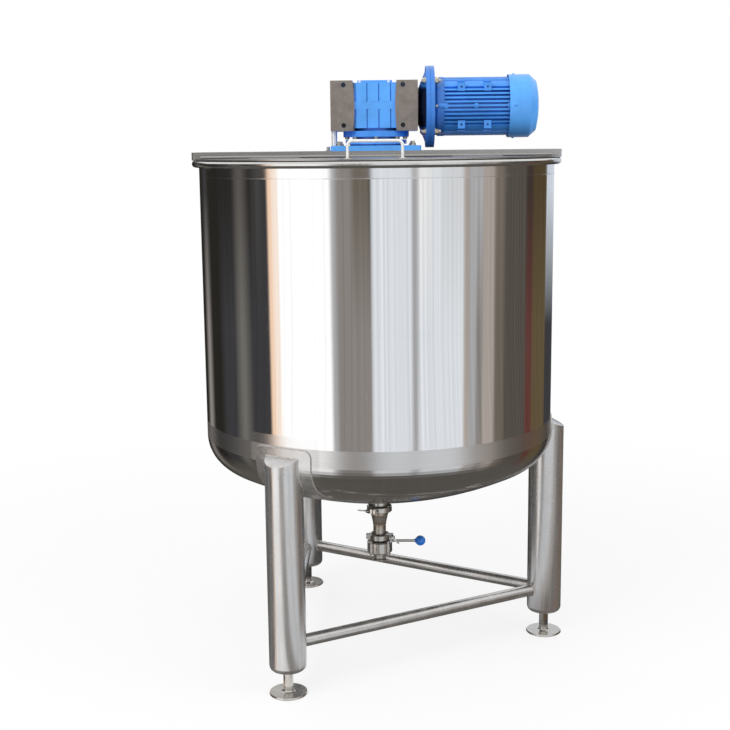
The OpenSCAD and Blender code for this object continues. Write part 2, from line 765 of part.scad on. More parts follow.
// Finned frame: the section drawn out, with pads, ledges, end lugs, a centre boss and a box seat
module motor_frame() {
    seat_side = 6;
    color("dodgerblue") translate([frame_x, 0, input_z]) difference() {
        union() {
            rotate([90, 0, 90]) linear_extrude(frame_len) frame_section();
            translate([frame_len / 2 - box_w / 2 + seat_side, frame_r / 2, -seat_h / 2])
                cube([box_w - 2 * seat_side, frame_r / 2, seat_h]);
            for (x = [0, frame_len - lug_end]) translate([x, 1 - frame_r, -lug_end_h / 2])
                cube([lug_end, 2 * frame_r - 2, lug_end_h]);
            translate([boss_at, fin_depth - frame_r, 0]) rotate([90, 0, 0])
                cylinder(r = boss_r, h = fin_depth);
            eye_pads(false);
        }
        eye_pads(true);
    }
}

// Fan cowl: a sheet drum open over the frame's end, with a sloped shoulder and a low domed end
module fan_cowl() {
    shoulder = 26;
    end_r = cowl_r - 18;
    inner = cowl_r - cowl_sheet;
    hub = frame_r - fin_depth;
    color("royalblue") about_input([[cowl_x, 0], [cowl_x, hub], [cowl_x + cowl_depth, hub],
        [cowl_x + cowl_depth, inner], [cowl_x - cowl_lap, inner], [cowl_x - cowl_lap, cowl_r],
        [cowl_x + cowl_len - shoulder, cowl_r], [cowl_x + cowl_len - 6, end_r],
        [cowl_x + cowl_len - 1.5, end_r - 22], [cowl_x + cowl_len, 0]]);
}

// Terminal box on the rear side of the frame: a body and a wider lid
module terminal_box() {
    color("royalblue") translate([frame_x + frame_len / 2, frame_r, input_z]) rotate([-90, 0, 0]) {
        linear_extrude(box_d) polygon(round_rect(box_w - 6, box_h - 6, 8));
        translate([0, 0, box_d]) linear_extrude(box_d / 2) polygon(round_rect(box_w, box_h, 10));
    }
}

// Agitator shaft from the output flange down to the blades' hub
module agitator_shaft() {
    low = tangent_z + blade_rise;
    color("silver") translate([0, 0, low]) cylinder(r = shaft_r, h = gear_low - low);
}

// Three pitched blades on a hub under the shaft
module agitator_blades() {
    low = tangent_z + blade_rise;
    color("silver") difference() {
        union() {
            translate([0, 0, low - shaft_r / 2]) cylinder(r = hub_out, h = blade_w);
            for (a = [90, 210, 330]) rotate([0, 0, a]) translate([0, 0, low + blade_w / 2 - shaft_r / 2])
                rotate([35, 0, 0]) translate([hub_out * 0.8, -blade_w / 2, -blade_t / 2])
                    cube([blade_r - hub_out * 0.8, blade_w, blade_t]);
        }
        translate([0, 0, low]) cylinder(r = shaft_r, h = 2 * blade_w);
    }
}

shell_wall();
rim_bead();
bottom_head();
bridge();
bridge_clip();
front_lid();
front_lid_grip();
front_lid_leaf();
front_hinge();
rear_lid();
rear_lid_grip();
rear_hinge();
leg_right();
leg_rear();
leg_front();
leg_pad_right();
leg_pad_rear();
leg_pad_front();
foot_right();
foot_rear();
foot_front();
brace_right();
brace_left();
brace_front();
outlet_neck();
outlet_clamp();
outlet_reducer();
valve_clamp();
valve_body();
valve_disc();
valve_lever();
lever_knob();
stand();
stay_post();
output_flange();
gear_housing();
gear_cover();
input_adaptor();
adaptor_flange();
motor_shield();
motor_frame();
fan_cowl();
terminal_box();
agitator_shaft();
agitator_blades();
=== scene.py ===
"""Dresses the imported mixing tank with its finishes, welds and fasteners, and sets up its studio."""
import math

import bmesh
import bpy
from bpy.props import FloatProperty, FloatVectorProperty, IntProperty, PointerProperty
from mathutils import Matrix, Vector


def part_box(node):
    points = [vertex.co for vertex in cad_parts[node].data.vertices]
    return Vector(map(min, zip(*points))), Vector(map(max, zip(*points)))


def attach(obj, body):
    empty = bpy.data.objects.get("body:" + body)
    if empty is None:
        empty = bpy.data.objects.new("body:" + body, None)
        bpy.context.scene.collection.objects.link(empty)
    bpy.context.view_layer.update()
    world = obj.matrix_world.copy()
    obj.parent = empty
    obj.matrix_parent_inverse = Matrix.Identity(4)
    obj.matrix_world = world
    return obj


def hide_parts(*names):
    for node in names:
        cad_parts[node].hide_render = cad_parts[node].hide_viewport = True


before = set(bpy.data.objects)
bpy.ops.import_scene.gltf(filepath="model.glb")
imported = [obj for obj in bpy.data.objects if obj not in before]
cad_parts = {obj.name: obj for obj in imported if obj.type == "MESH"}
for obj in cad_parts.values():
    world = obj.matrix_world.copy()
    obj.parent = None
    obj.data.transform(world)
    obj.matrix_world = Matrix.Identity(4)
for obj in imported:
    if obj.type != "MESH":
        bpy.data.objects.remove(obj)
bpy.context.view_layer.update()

bl_info = {
    "name": "Mixing tank dress",
    "version": (1, 0, 0),
    "blender": (4, 5, 0),
    "location": "View3D > Sidebar > Tank",
    "description": "Finishes, welds, fasteners and studio for the mixing tank",
    "category": "Object",
}

MM = 0.001
TANK, LID, HANDLE = "tank", "front_half_lid", "valve_handle"


def span(name, axis):
    """Lowest and highest value of a CAD node along one axis."""
    low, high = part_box(name)
    return low[axis], high[axis]


SHELL_R = span("shell_wall", 0)[1]
WELD_Z, RIM_Z = span("shell_wall", 2)
HEAD_LOW = span("bottom_head", 2)[0]
PAD_LOW, PAD_TOP = span("leg_pad_right", 2)
BRIDGE_TOP = span("bridge", 2)[1]
BRIDGE_Y = span("bridge", 1)[1]
LID_TOP = span("front_lid", 2)[1]
LEG_R = (span("leg_right", 0)[1] - span("leg_right", 0)[0]) / 2
LEG_CIRCLE = span("leg_right", 0)[1] - LEG_R
LEG_LOW, LEG_TOP = span("leg_right", 2)
GEAR_LOW, GEAR_TOP = span("gear_housing", 2)
GEAR_LEFT, GEAR_RIGHT = span("gear_housing", 0)
GEAR_FACE = span("gear_housing", 1)[1]
INPUT_Z = sum(span("motor_frame", 2)) / 2
FRAME_LEFT, FRAME_RIGHT = span("motor_frame", 0)
FRAME_R = span("motor_frame", 2)[1] - INPUT_Z
FRAME_BACK = FRAME_R
BOX_LOW = span("terminal_box", 2)[0]
FLANGE_LEFT, FLANGE_MID = span("adaptor_flange", 0)
FLANGE_RIGHT = FLANGE_MID + (FLANGE_MID - FLANGE_LEFT)
FLANGE_R = span("adaptor_flange", 2)[1] - INPUT_Z
COWL_LEFT, COWL_RIGHT = span("fan_cowl", 0)
COWL_R = span("fan_cowl", 2)[1] - INPUT_Z
PLATE_HALF = span("stand", 0)[1]
PLATE_TOP = BRIDGE_TOP + 14 * MM
OUT_LOW, OUT_TOP = span("output_flange", 2)
OUT_R = span("output_flange", 0)[1]
VALVE_LOW, VALVE_TOP = span("valve_body", 2)
CLAMP_Z = sum(span("outlet_clamp", 2)) / 2
VALVE_CLAMP_Z = sum(span("valve_clamp", 2)) / 2
NECK_LOW = span("outlet_neck", 2)[0]
REDUCER_LOW, REDUCER_TOP = span("outlet_reducer", 2)
REDUCER_SEAMS = (REDUCER_TOP - 19 * MM, REDUCER_TOP - 49 * MM)
LEG_TURNS = (0, 120, 240)


# ---------------------------------------------------------------- settings


def size(name, default, low, high, text):
    """A length in metres that the user may change."""
    return FloatProperty(name=name, description=text, default=default, min=low, max=high,
                         subtype="DISTANCE", unit="LENGTH", precision=5)


def share(name, default, text):
    """A plain factor between nought and one."""
    return FloatProperty(name=name, description=text, default=default, min=0, max=1, subtype="FACTOR")


def colour(name, default, text):
    """A colour in linear light."""
    return FloatVectorProperty(name=name, description=text, default=default, min=0, max=1,
                               size=3, subtype="COLOR")


class TankSteelSettings(bpy.types.PropertyGroup):
    mirror: colour("Mirror steel", (0.80, 0.80, 0.80), "Colour of the polished shell")
    mirror_rough: share("Mirror roughness", 0.045, "Roughness of the polished shell")
    haze_rough: share("Buffed roughness", 0.23, "Roughness where the shell is buffed beside a weld")
    satin: colour("Satin steel", (0.62, 0.61, 0.60), "Colour of the satin tubes and plates")
    satin_rough: share("Satin roughness", 0.22, "Roughness of the satin tubes and plates")
    plate: colour("Plate steel", (0.40, 0.39, 0.38), "Colour of the bridge and the half lids")
    fitting: colour("Fitting steel", (0.60, 0.58, 0.55), "Colour of the turned outlet fittings")
    rod: colour("Bright rod", (0.90, 0.90, 0.89), "Colour of the bright handle rod")
    zinc: colour("Zinc", (0.74, 0.71, 0.62), "Colour of the plated fasteners")


class TankPaintSettings(bpy.types.PropertyGroup):
    blue: colour("Enamel", (0.045, 0.262, 0.750), "Colour of the enamel on the motor")
    # Painted light and shade: pale is the blue enamel made lighter for the parts that stand in more light, and the next
    # colour is it made darker for the flanges, which face away from the light.
    pale: colour("Lit enamel", (0.080, 0.345, 0.840), "Colour of the enamel on the gear unit and the cowl")
    full: colour("Shaded enamel", (0.036, 0.190, 0.600), "Colour of the enamel on the flanges")
    # Painted shade: this is the colour painted inside the adaptor's mouth for the shade there, not an enamel.
    shade: colour("Mouth shade", (0.006, 0.010, 0.030), "Colour of the enamel inside the adaptor")
    bare: colour("Machined iron", (0.300, 0.262, 0.235), "Colour of the bare machined faces")
    knob: colour("Knob", (0.018, 0.185, 0.700), "Colour of the lever's ball knob")
    gloss: share("Enamel roughness", 0.36, "Roughness of the enamel")


class TankWeldSettings(bpy.types.PropertyGroup):
    width: size("Bead width", 3.4 * MM, 1 * MM, 8 * MM, "Width of a weld bead")
    pitch: size("Ripple pitch", 1.5 * MM, 0.5 * MM, 5 * MM, "Distance between the ripples of a bead")
    tint: colour("Heat tint", (0.46, 0.36, 0.25), "Straw colour beside a weld")


class TankFastenerSettings(bpy.types.PropertyGroup):
    flange_count: IntProperty(name="Output bolts", description="Bolts round the output flange",
                              default=8, min=4, max=16)
    motor_count: IntProperty(name="Motor bolts", description="Bolts through the motor flange",
                             default=4, min=4, max=8)
    head: size("Head width", 19 * MM, 6 * MM, 30 * MM, "Width over the corners of a large bolt head")


class TankStageSettings(bpy.types.PropertyGroup):
    floor: colour("Floor", (0.86, 0.86, 0.86), "Colour of the floor")
    under: colour("Underfloor", (0.135, 0.125, 0.112), "Tone that the downward faces reflect from the floor")
    key: FloatProperty(name="Key light", description="Power of the soft light over the front left",
                       default=120, min=0, max=2000, unit="POWER")
    fill: FloatProperty(name="Fill light", description="Power of the soft light on the right",
                        default=50, min=0, max=2000, unit="POWER")
    world: share("World", 0.85, "Strength of the even light from all round")
    lens: FloatProperty(name="Lens", description="Focal length of the camera in millimetres",
                        default=60.98, min=20, max=200)


SETTINGS = {"tank_steel": TankSteelSettings, "tank_paint": TankPaintSettings,
            "tank_weld": TankWeldSettings, "tank_fastener": TankFastenerSettings,
            "tank_stage": TankStageSettings}


# ---------------------------------------------------------------- node helpers


def add(tree, kind, inputs=None, **settings):
    """A node with its settings, its inputs given as numbers or as sockets to link from."""
    made = tree.nodes.new(kind)
    for name, value in settings.items():
        setattr(made, name, value)
    for key, value in (inputs or {}).items():
        socket = made.inputs[key]
        if isinstance(value, bpy.types.NodeSocket):
            tree.links.new(value, socket)
        else:
            socket.default_value = value
    return made


def sums(tree, operation, *values):
    """One Math node's result."""
    return add(tree, "ShaderNodeMath", dict(enumerate(values)), operation=operation).outputs[0]


def ranged(tree, value, from_low, from_high, low, high, smooth=False):
    """A value carried from one range to another, held at the ends."""
    kind = "SMOOTHSTEP" if smooth else "LINEAR"
    return add(tree, "ShaderNodeMapRange", {"Value": value, "From Min": from_low, "From Max": from_high,
               "To Min": low, "To Max": high}, interpolation_type=kind).outputs["Result"]


def noise(tree, place, stretch, detail=3.0, rough=0.55):
    """Noise on stretched coordinates, each stretch in cycles per metre."""
    mapped = add(tree, "ShaderNodeMapping", {"Vector": place, "Scale": stretch}).outputs[0]
    return add(tree, "ShaderNodeTexNoise", {"Vector": mapped, "Scale": 1.0, "Detail": detail,
               "Roughness": rough}).outputs[0]


def blend(tree, factor, first, second):
    """One colour mixed into another."""
    made = add(tree, "ShaderNodeMix", {"Factor": factor}, data_type="RGBA")
    for socket, value in ((made.inputs[6], first), (made.inputs[7], second)):
        if isinstance(value, bpy.types.NodeSocket):
            tree.links.new(value, socket)
        else:
            socket.default_value = (*value, 1.0)
    return made.outputs[2]


def relief(tree, shader, height, strength, depth, after=None):
    """Bump from a height, on top of an earlier bump if there is one."""
    inputs = {"Height": height, "Strength": strength, "Distance": depth}
    if after is not None:
        inputs["Normal"] = after
    made = add(tree, "ShaderNodeBump", inputs).outputs[0]
    tree.links.new(made, shader.inputs["Normal"])
    return made


class Finish:
    """A material being wired, with its tree, its shader and the piece's own coordinates."""

    def __init__(self, name, color, metallic, roughness):
        self.material = bpy.data.materials.new(name)
        self.material.use_nodes = True
        self.material.diffuse_color = (*color, 1.0)
        self.tree = self.material.node_tree
        self.shader = self.tree.nodes["Principled BSDF"]
        self.shader.inputs["Base Color"].default_value = (*color, 1.0)
        self.shader.inputs["Metallic"].default_value = metallic
        self.shader.inputs["Roughness"].default_value = roughness
        self.place = add(self.tree, "ShaderNodeTexCoord").outputs["Object"]
        split = add(self.tree, "ShaderNodeSeparateXYZ", {0: self.place})
        self.x, self.y, self.z = split.outputs[:3]
        self.last = None

    def set(self, socket, value):
        if isinstance(value, bpy.types.NodeSocket):
            self.tree.links.new(value, self.shader.inputs[socket])
        else:
            self.shader.inputs[socket].default_value = value

    def bump(self, height, strength, depth):
        self.last = relief(self.tree, self.shader, height, strength, depth, self.last)

    def grain(self, stretch, detail=3.0, rough=0.55):
        return noise(self.tree, self.place, stretch, detail, rough)

    def polar(self):
        """Angle round the tank's axis in turns, and distance from it in metres."""
        tree = self.tree
        angle = sums(tree, "DIVIDE", sums(tree, "ARCTAN2", self.y, self.x), 2 * math.pi)
        flat = add(tree, "ShaderNodeCombineXYZ", {0: self.x, 1: self.y})
        return angle, add(tree, "ShaderNodeVectorMath", {0: flat.outputs[0]}, operation="LENGTH").outputs["Value"]

    def near_leg(self):
        """Distance in degrees from the nearest of the three legs."""
        tree = self.tree
        turn = sums(tree, "MULTIPLY", self.polar()[0], 360.0)
        return sums(tree, "ABSOLUTE", sums(tree, "WRAP", turn, 60.0, -60.0))


FINISHES = {}


def finish(name):
    """The named material, made the first time that it is asked for."""
    if name not in FINISHES:
        FINISHES[name] = FINISH_MAKERS[name]()
    return FINISHES[name]


# ---------------------------------------------------------------- finishes


def mirror_shell():
    """Polished rolled sheet: slow waves, a hazed ring under the rim and buffed patches over the legs."""
    steel = bpy.context.scene.tank_steel
    made = Finish("mirror_shell", steel.mirror, 1.0, steel.mirror_rough)
    tree = made.tree
    ring = ranged(tree, made.z, RIM_Z - 46 * MM, RIM_Z - 43 * MM, 0.0, 1.0)
    line = ranged(tree, sums(tree, "ABSOLUTE", sums(tree, "SUBTRACT", made.z, RIM_Z - 44.5 * MM)),
                  0.8 * MM, 1.8 * MM, 1.0, 0.0)
    side = ranged(tree, made.near_leg(), 12.0, 12.8, 1.0, 0.0)
    low = ranged(tree, made.z, PAD_TOP + 32 * MM, PAD_TOP + 36 * MM, 1.0, 0.0)
    patch = sums(tree, "MULTIPLY", side, low)
    scuffs = ranged(tree, made.grain((9, 9, 3), 6.0, 0.7), 0.60, 0.76, 0.0, 0.10)
    foot = ranged(tree, made.z, WELD_Z, WELD_Z + 60 * MM, 0.03, 0.0, True)
    rough = steel.mirror_rough
    scratch = ranged(tree, made.grain((420, 420, 26), 2.0), 0.70, 0.73, 0.0, 0.16)
    worn = ranged(tree, made.grain((5, 5, 5), 2.0), 0.52, 0.66, 0.0, 1.0)
    rough = sums(tree, "ADD", sums(tree, "MULTIPLY_ADD", ring, 0.06, rough), sums(tree, "ADD", scuffs, foot))
    rough = sums(tree, "ADD", rough, sums(tree, "MULTIPLY", scratch, worn))
    rough = sums(tree, "MAXIMUM", rough, sums(tree, "MULTIPLY", patch, steel.haze_rough))
    rough = sums(tree, "MAXIMUM", rough, sums(tree, "MULTIPLY", line, 0.26))
    made.set("Roughness", rough)
    made.set("Base Color", blend(tree, line, steel.mirror, tuple(0.9 * c for c in steel.mirror)))
    made.bump(made.grain((3.2, 3.2, 1.1), 1.0), 0.10, 1.2 * MM)
    made.bump(made.grain((60, 60, 900), 2.0), 0.05, 0.05 * MM)
    return made.material


def satin_head():
    """Dished head: a buffed skirt above its knuckle, lightened there by a painted highlight, smoother below, duller
    beside the legs' doublers.
    """
    steel = bpy.context.scene.tank_steel
    made = Finish("satin_head", steel.satin, 1.0, 0.2)
    tree = made.tree
    angle, radius = made.polar()
    rings = add(tree, "ShaderNodeCombineXYZ", {0: sums(tree, "MULTIPLY", angle, 4.0),
                1: sums(tree, "MULTIPLY", radius, 260.0), 2: sums(tree, "MULTIPLY", made.z, 260.0)})
    brush = add(tree, "ShaderNodeTexNoise", {"Vector": rings.outputs[0], "Scale": 1.0, "Detail": 3.0}).outputs[0]
    cloud = made.grain((7, 7, 7), 4.0)
    side = ranged(tree, made.near_leg(), 12.0, 12.8, 0.1, 0.0)
    skirt = ranged(tree, made.z, WELD_Z - 50 * MM, WELD_Z - 48.5 * MM, 0.0, 1.0)
    plain = ranged(tree, cloud, 0.3, 0.7, 0.12, 0.17)
    rough = sums(tree, "MAXIMUM", plain, sums(tree, "MULTIPLY", skirt, 0.30))
    made.set("Roughness", sums(tree, "ADD", rough, side))
    shade = blend(tree, ranged(tree, brush, 0.35, 0.65, 0.0, 1.0),
                  tuple(0.95 * c for c in steel.satin), tuple(min(1.0, 1.05 * c) for c in steel.satin))
    # Painted highlight: the skirt's colour is drawn 30 per cent towards light grey to stand for its brighter
    # reflection.
    made.set("Base Color", blend(tree, sums(tree, "MULTIPLY", skirt, 0.3), shade, (0.9, 0.9, 0.9)))
    made.bump(brush, 0.05, 0.03 * MM)
    return made.material


def doubler():
    """Doubler plates: evenly buffed steel with faint marks in all directions."""
    return satin("doubler", (60, 60, 60), rough=0.3, metallic=0.9)


def satin(name, stretch, color=None, rough=None, tint=None, metallic=1.0):
    """Satin steel whose brush marks run along the axis that is stretched least."""
    steel = bpy.context.scene.tank_steel
    color = tuple(color or steel.satin)
    rough = steel.satin_rough if rough is None else rough
    made = Finish(name, color, metallic, rough)
    tree = made.tree
    brush = made.grain(stretch, 2.0)
    cloud = made.grain((11, 11, 11), 4.0)
    made.set("Roughness", sums(tree, "ADD", ranged(tree, brush, 0.3, 0.7, rough - 0.04, rough + 0.04),
                               ranged(tree, cloud, 0.35, 0.7, -0.03, 0.05)))
    shade = blend(tree, ranged(tree, brush, 0.3, 0.7, 0.0, 1.0),
                  tuple(0.9 * c for c in color), tuple(min(1.0, 1.08 * c) for c in color))
    if tint is not None:
        shade = blend(tree, tint(made), shade, tuple(bpy.context.scene.tank_weld.tint))
    made.set("Base Color", shade)
    made.bump(brush, 0.01, 0.03 * MM)
    return made.material


def satin_tube():
    return satin("satin_tube", (70, 70, 3), rough=0.23, metallic=0.88)


def satin_brace():
    return satin("satin_brace", (26, 26, 26), rough=0.26, metallic=0.92)


def satin_plate():
    return satin("satin_plate", (6, 420, 420), color=bpy.context.scene.tank_steel.plate, rough=0.3,
                 metallic=0.85)


def satin_rim():
    """Rolled bead: brighter than the plates and only lightly brushed."""
    return satin("satin_rim", (300, 300, 700), color=(0.68, 0.68, 0.67), rough=0.16)


def bright_rod():
    return satin("bright_rod", (200, 200, 200), color=bpy.context.scene.tank_steel.rod, rough=0.3, metallic=0.6)


def fitting():
    return satin("fitting", (260, 260, 900), color=bpy.context.scene.tank_steel.fitting, rough=0.24)


def tinted_fitting():
    """Reducer with straw heat tint that fades away from its two welds."""
    def tint(made):
        tree = made.tree
        near = [sums(tree, "ABSOLUTE", sums(tree, "SUBTRACT", made.z, z)) for z in REDUCER_SEAMS]
        uneven = ranged(tree, made.grain((60, 60, 60), 3.0), 0.35, 0.7, -3 * MM, 5 * MM)
        nearest = sums(tree, "ADD", sums(tree, "MINIMUM", *near), uneven)
        return ranged(tree, nearest, 2 * MM, 14 * MM, 0.9, 0.12, True)
    return satin("tinted_fitting", (260, 260, 900), color=bpy.context.scene.tank_steel.fitting, rough=0.3, tint=tint)


def weld_metal():
    """Weld bead: pale steel with straw and brown tint in patches."""
    weld = bpy.context.scene.tank_weld
    made = Finish("weld_metal", (0.7, 0.68, 0.65), 1.0, 0.28)
    tree = made.tree
    patch = ranged(tree, made.grain((60, 60, 60), 3.0), 0.5, 0.72, 0.0, 0.7)
    made.set("Base Color", blend(tree, patch, (0.72, 0.70, 0.68), tuple(weld.tint)))
    made.set("Roughness", ranged(tree, made.grain((300, 300, 300)), 0.3, 0.7, 0.22, 0.4))
    made.bump(made.grain((700, 700, 700)), 0.2, 0.1 * MM)
    return made.material


def enamel(name="enamel", color=None, bare_faces_and_hole_shade=False, painted_mouth_shade=False):
    """Sprayed enamel on rough castings, with dust in the low spots; the machined faces stay bare. On request, painted
    shade darkens the recesses in the machined faces and the adaptor's mouth.
    """
    paint = bpy.context.scene.tank_paint
    color = tuple(color or paint.blue)
    made = Finish(name, color, 0.0, paint.gloss)
    tree = made.tree
    cloud = made.grain((16, 16, 16), 4.0)
    sand = made.grain((420, 420, 420), 2.0)
    specks = ranged(tree, made.grain((230, 230, 230), 1.0), 0.72, 0.78, 0.0, 0.5)
    shade = blend(tree, ranged(tree, cloud, 0.3, 0.7, 0.0, 1.0),
                  tuple(0.88 * c for c in color), tuple(min(1.0, 1.12 * c) for c in color))
    shade = blend(tree, sums(tree, "MULTIPLY", specks, 0.35), shade, (0.30, 0.33, 0.36))
    rough = sums(tree, "ADD", ranged(tree, cloud, 0.3, 0.7, -0.05, 0.07), paint.gloss)
    rough = sums(tree, "ADD", rough, sums(tree, "MULTIPLY", specks, 0.3))
    if bare_faces_and_hole_shade:
        wide = sums(tree, "ABSOLUTE", made.y)
        face = ranged(tree, wide, GEAR_FACE - 0.4 * MM, GEAR_FACE - 0.2 * MM, 0.0, 1.0)
        mill = made.grain((90, 90, 1400), 3.0)
        stain = made.grain((35, 35, 35), 5.0, 0.7)
        bare = blend(tree, ranged(tree, stain, 0.35, 0.68, 0.0, 1.0), tuple(0.82 * c for c in paint.bare),
                     tuple(1.15 * c for c in paint.bare))
        inside = [ranged(tree, wide, GEAR_FACE - 1.2 * MM, GEAR_FACE - 0.8 * MM, 1.0, 0.0),
                  ranged(tree, made.z, GEAR_LOW + 3 * MM, GEAR_LOW + 4 * MM, 0.0, 1.0),
                  ranged(tree, made.z, GEAR_TOP - 4 * MM, GEAR_TOP - 3 * MM, 1.0, 0.0),
                  ranged(tree, sums(tree, "ABSOLUTE", made.x), 60 * MM, 61 * MM, 0.0, 1.0),
                  ranged(tree, sums(tree, "ABSOLUTE", made.x), 120 * MM, 121 * MM, 1.0, 0.0)]
        # Painted shade: each recess deeper than the machined face, inside the given heights and widths, is darkened to
        # near black.
        recess_shade = inside[0]
        for limit in inside[1:]:
            recess_shade = sums(tree, "MULTIPLY", recess_shade, limit)
        # Painted shade: strongest in the lower half and weaker towards the top, where more light falls.
        depth = ranged(tree, made.z, (GEAR_LOW + GEAR_TOP) / 2, GEAR_TOP, 0.97, 0.75)
        shade = blend(tree, sums(tree, "MULTIPLY", recess_shade, depth), shade, (0.004, 0.006, 0.014))
        shade = blend(tree, face, shade, bare)
        rough = sums(tree, "MAXIMUM", rough, sums(tree, "MULTIPLY", face, ranged(tree, mill, 0.3, 0.7, 0.38, 0.52)))
        made.set("Metallic", sums(tree, "MULTIPLY", face, 0.75))
        made.bump(mill, 0.15, 0.05 * MM)
    if painted_mouth_shade:
        # Painted shade: a band about the motor's axis height is darkened to the mouth's shade colour, with an uneven
        # edge.
        level = sums(tree, "ABSOLUTE", sums(tree, "SUBTRACT", made.z, INPUT_Z - 4 * MM))
        mouth = ranged(tree, sums(tree, "ADD", level, ranged(tree, cloud, 0.3, 0.7, -4 * MM, 4 * MM)),
                       50 * MM, 60 * MM, 1.0, 0.0, True)
        shade = blend(tree, mouth, shade, tuple(paint.shade))
    made.set("Base Color", shade)
    made.set("Roughness", rough)
    made.bump(sand, 0.22, 0.12 * MM)
    made.bump(cloud, 0.25, 0.5 * MM)
    made.set("Coat Weight", 0.25)
    made.set("Coat Roughness", 0.2)
    return made.material


# Painted light: the gear housing gets the lighter enamel, with its bare machined faces.
def lit_casting_enamel():
    return enamel("lit_casting_enamel", bpy.context.scene.tank_paint.pale, bare_faces_and_hole_shade=True)


# Painted light: the blue enamel made lighter for parts that stand in more light.
def lit_enamel():
    return enamel("lit_enamel", bpy.context.scene.tank_paint.pale)


# Painted shade: the blue enamel made darker for the flanges, which face away from the light.
def shaded_enamel():
    return enamel("shaded_enamel", bpy.context.scene.tank_paint.full)


# Painted shade: the flanges' shaded enamel, with painted shade inside the adaptor's mouth.
def shaded_mouth_enamel():
    return enamel("shaded_mouth_enamel", bpy.context.scene.tank_paint.full, painted_mouth_shade=True)


def zinc():
    """Yellowish plating, cloudy and slightly stained."""
    steel = bpy.context.scene.tank_steel
    made = Finish("zinc", steel.zinc, 1.0, 0.32)
    tree = made.tree
    cloud = made.grain((180, 180, 180), 4.0)
    made.set("Base Color", blend(tree, ranged(tree, cloud, 0.35, 0.7, 0.0, 1.0), tuple(steel.zinc), (0.52, 0.45, 0.30)))
    made.set("Roughness", ranged(tree, cloud, 0.3, 0.7, 0.24, 0.42))
    made.bump(made.grain((900, 900, 900)), 0.15, 0.05 * MM)
    return made.material


def dark_steel_and_hole_shade():
    """Blued steel of set screws, fan and shaft ends, also used as painted shade in the cowl's air holes."""
    made = Finish("dark_steel_and_hole_shade", (0.05, 0.05, 0.055), 0.6, 0.45)
    tree = made.tree
    cloud = ranged(tree, made.grain((200, 200, 200)), 0.3, 0.7, 0.0, 1.0)
    made.set("Base Color", blend(tree, cloud, (0.040, 0.042, 0.050), (0.066, 0.060, 0.055)))
    made.set("Roughness", ranged(tree, cloud, 0.0, 1.0, 0.38, 0.55))
    made.bump(made.grain((500, 500, 500)), 0.2, 0.06 * MM)
    return made.material


def ball_plastic():
    """Moulded plastic of the ball knob, with fine scratches."""
    paint = bpy.context.scene.tank_paint
    made = Finish("ball_plastic", paint.knob, 0.0, 0.22)
    tree = made.tree
    scratch = made.grain((900, 120, 300), 2.0)
    made.set("Base Color", blend(tree, ranged(tree, made.grain((60, 60, 60)), 0.3, 0.7, 0.0, 1.0),
                                 tuple(0.85 * c for c in paint.knob), tuple(min(1, 1.15 * c) for c in paint.knob)))
    made.set("Roughness", ranged(tree, scratch, 0.3, 0.75, 0.16, 0.34))
    made.bump(scratch, 0.08, 0.03 * MM)
    made.set("Coat Weight", 0.4)
    return made.material


FINISH_MAKERS = {f.__name__: f for f in (
    mirror_shell, satin_head, doubler, satin_tube, satin_brace, satin_plate, satin_rim, bright_rod, fitting,
    tinted_fitting, weld_metal, enamel, lit_casting_enamel, lit_enamel,
    shaded_enamel, shaded_mouth_enamel, zinc, dark_steel_and_hole_shade, ball_plastic)}


# ---------------------------------------------------------------- mesh helpers


def cover(name, finish_name):
    """Gives a CAD node its finish."""
    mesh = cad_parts[name].data
    mesh.materials.clear()
    mesh.materials.append(finish(finish_name))


def place_piece(name, mesh, finish_name, body, smooth_angle=35.0, stands_for=()):
    """Links a finished mesh as a piece that rides on a body."""
    piece = bpy.data.objects.new(name, mesh)
    bpy.context.scene.collection.objects.link(piece)
    if finish_name:
        mesh.materials.clear()
        mesh.materials.append(finish(finish_name))
    if smooth_angle is not None:
        bm = bmesh.new()
        bm.from_mesh(mesh)
        limit = math.radians(smooth_angle)
        for face in bm.faces:
            face.smooth = True
        for edge in bm.edges:
            edge.smooth = not (edge.is_manifold and edge.calc_face_angle(0.0) > limit)
        bm.to_mesh(mesh)
        bm.free()
    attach(piece, body)
    if stands_for:
        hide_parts(*stands_for)
    return piece


def mesh_from(bm, name):
    """Closes a bmesh into a mesh with its doubles merged and its faces pointing outwards."""
    bmesh.ops.remove_doubles(bm, verts=bm.verts, dist=1e-6)
    bmesh.ops.recalc_face_normals(bm, faces=bm.faces)
    mesh = bpy.data.meshes.new(name)
    bm.to_mesh(mesh)
    bm.free()
    return mesh


def lathe(bm, profile, segments, frame_matrix):
    """Revolves a closed or axis-to-axis profile of (distance, radius) about the matrix's X axis."""
    rings = []
    for along, radius in profile:
        if radius < 1e-7:
            rings.append([bm.verts.new(frame_matrix @ Vector((along, 0, 0)))])
        else:
            rings.append([bm.verts.new(frame_matrix @ Vector((along, radius * math.cos(t), radius * math.sin(t))))
                          for t in (2 * math.pi * k / segments for k in range(segments))])
    for first, second in zip(rings, rings[1:]):
        for k in range(segments):
            a, b = first[k % len(first)], first[(k + 1) % len(first)]
            c, d = second[(k + 1) % len(second)], second[k % len(second)]
            corners = [v for i, v in enumerate((a, b, c, d)) if v not in (a, b, c, d)[:i]]
            if len(corners) > 2:
                bm.faces.new(corners)
    return rings


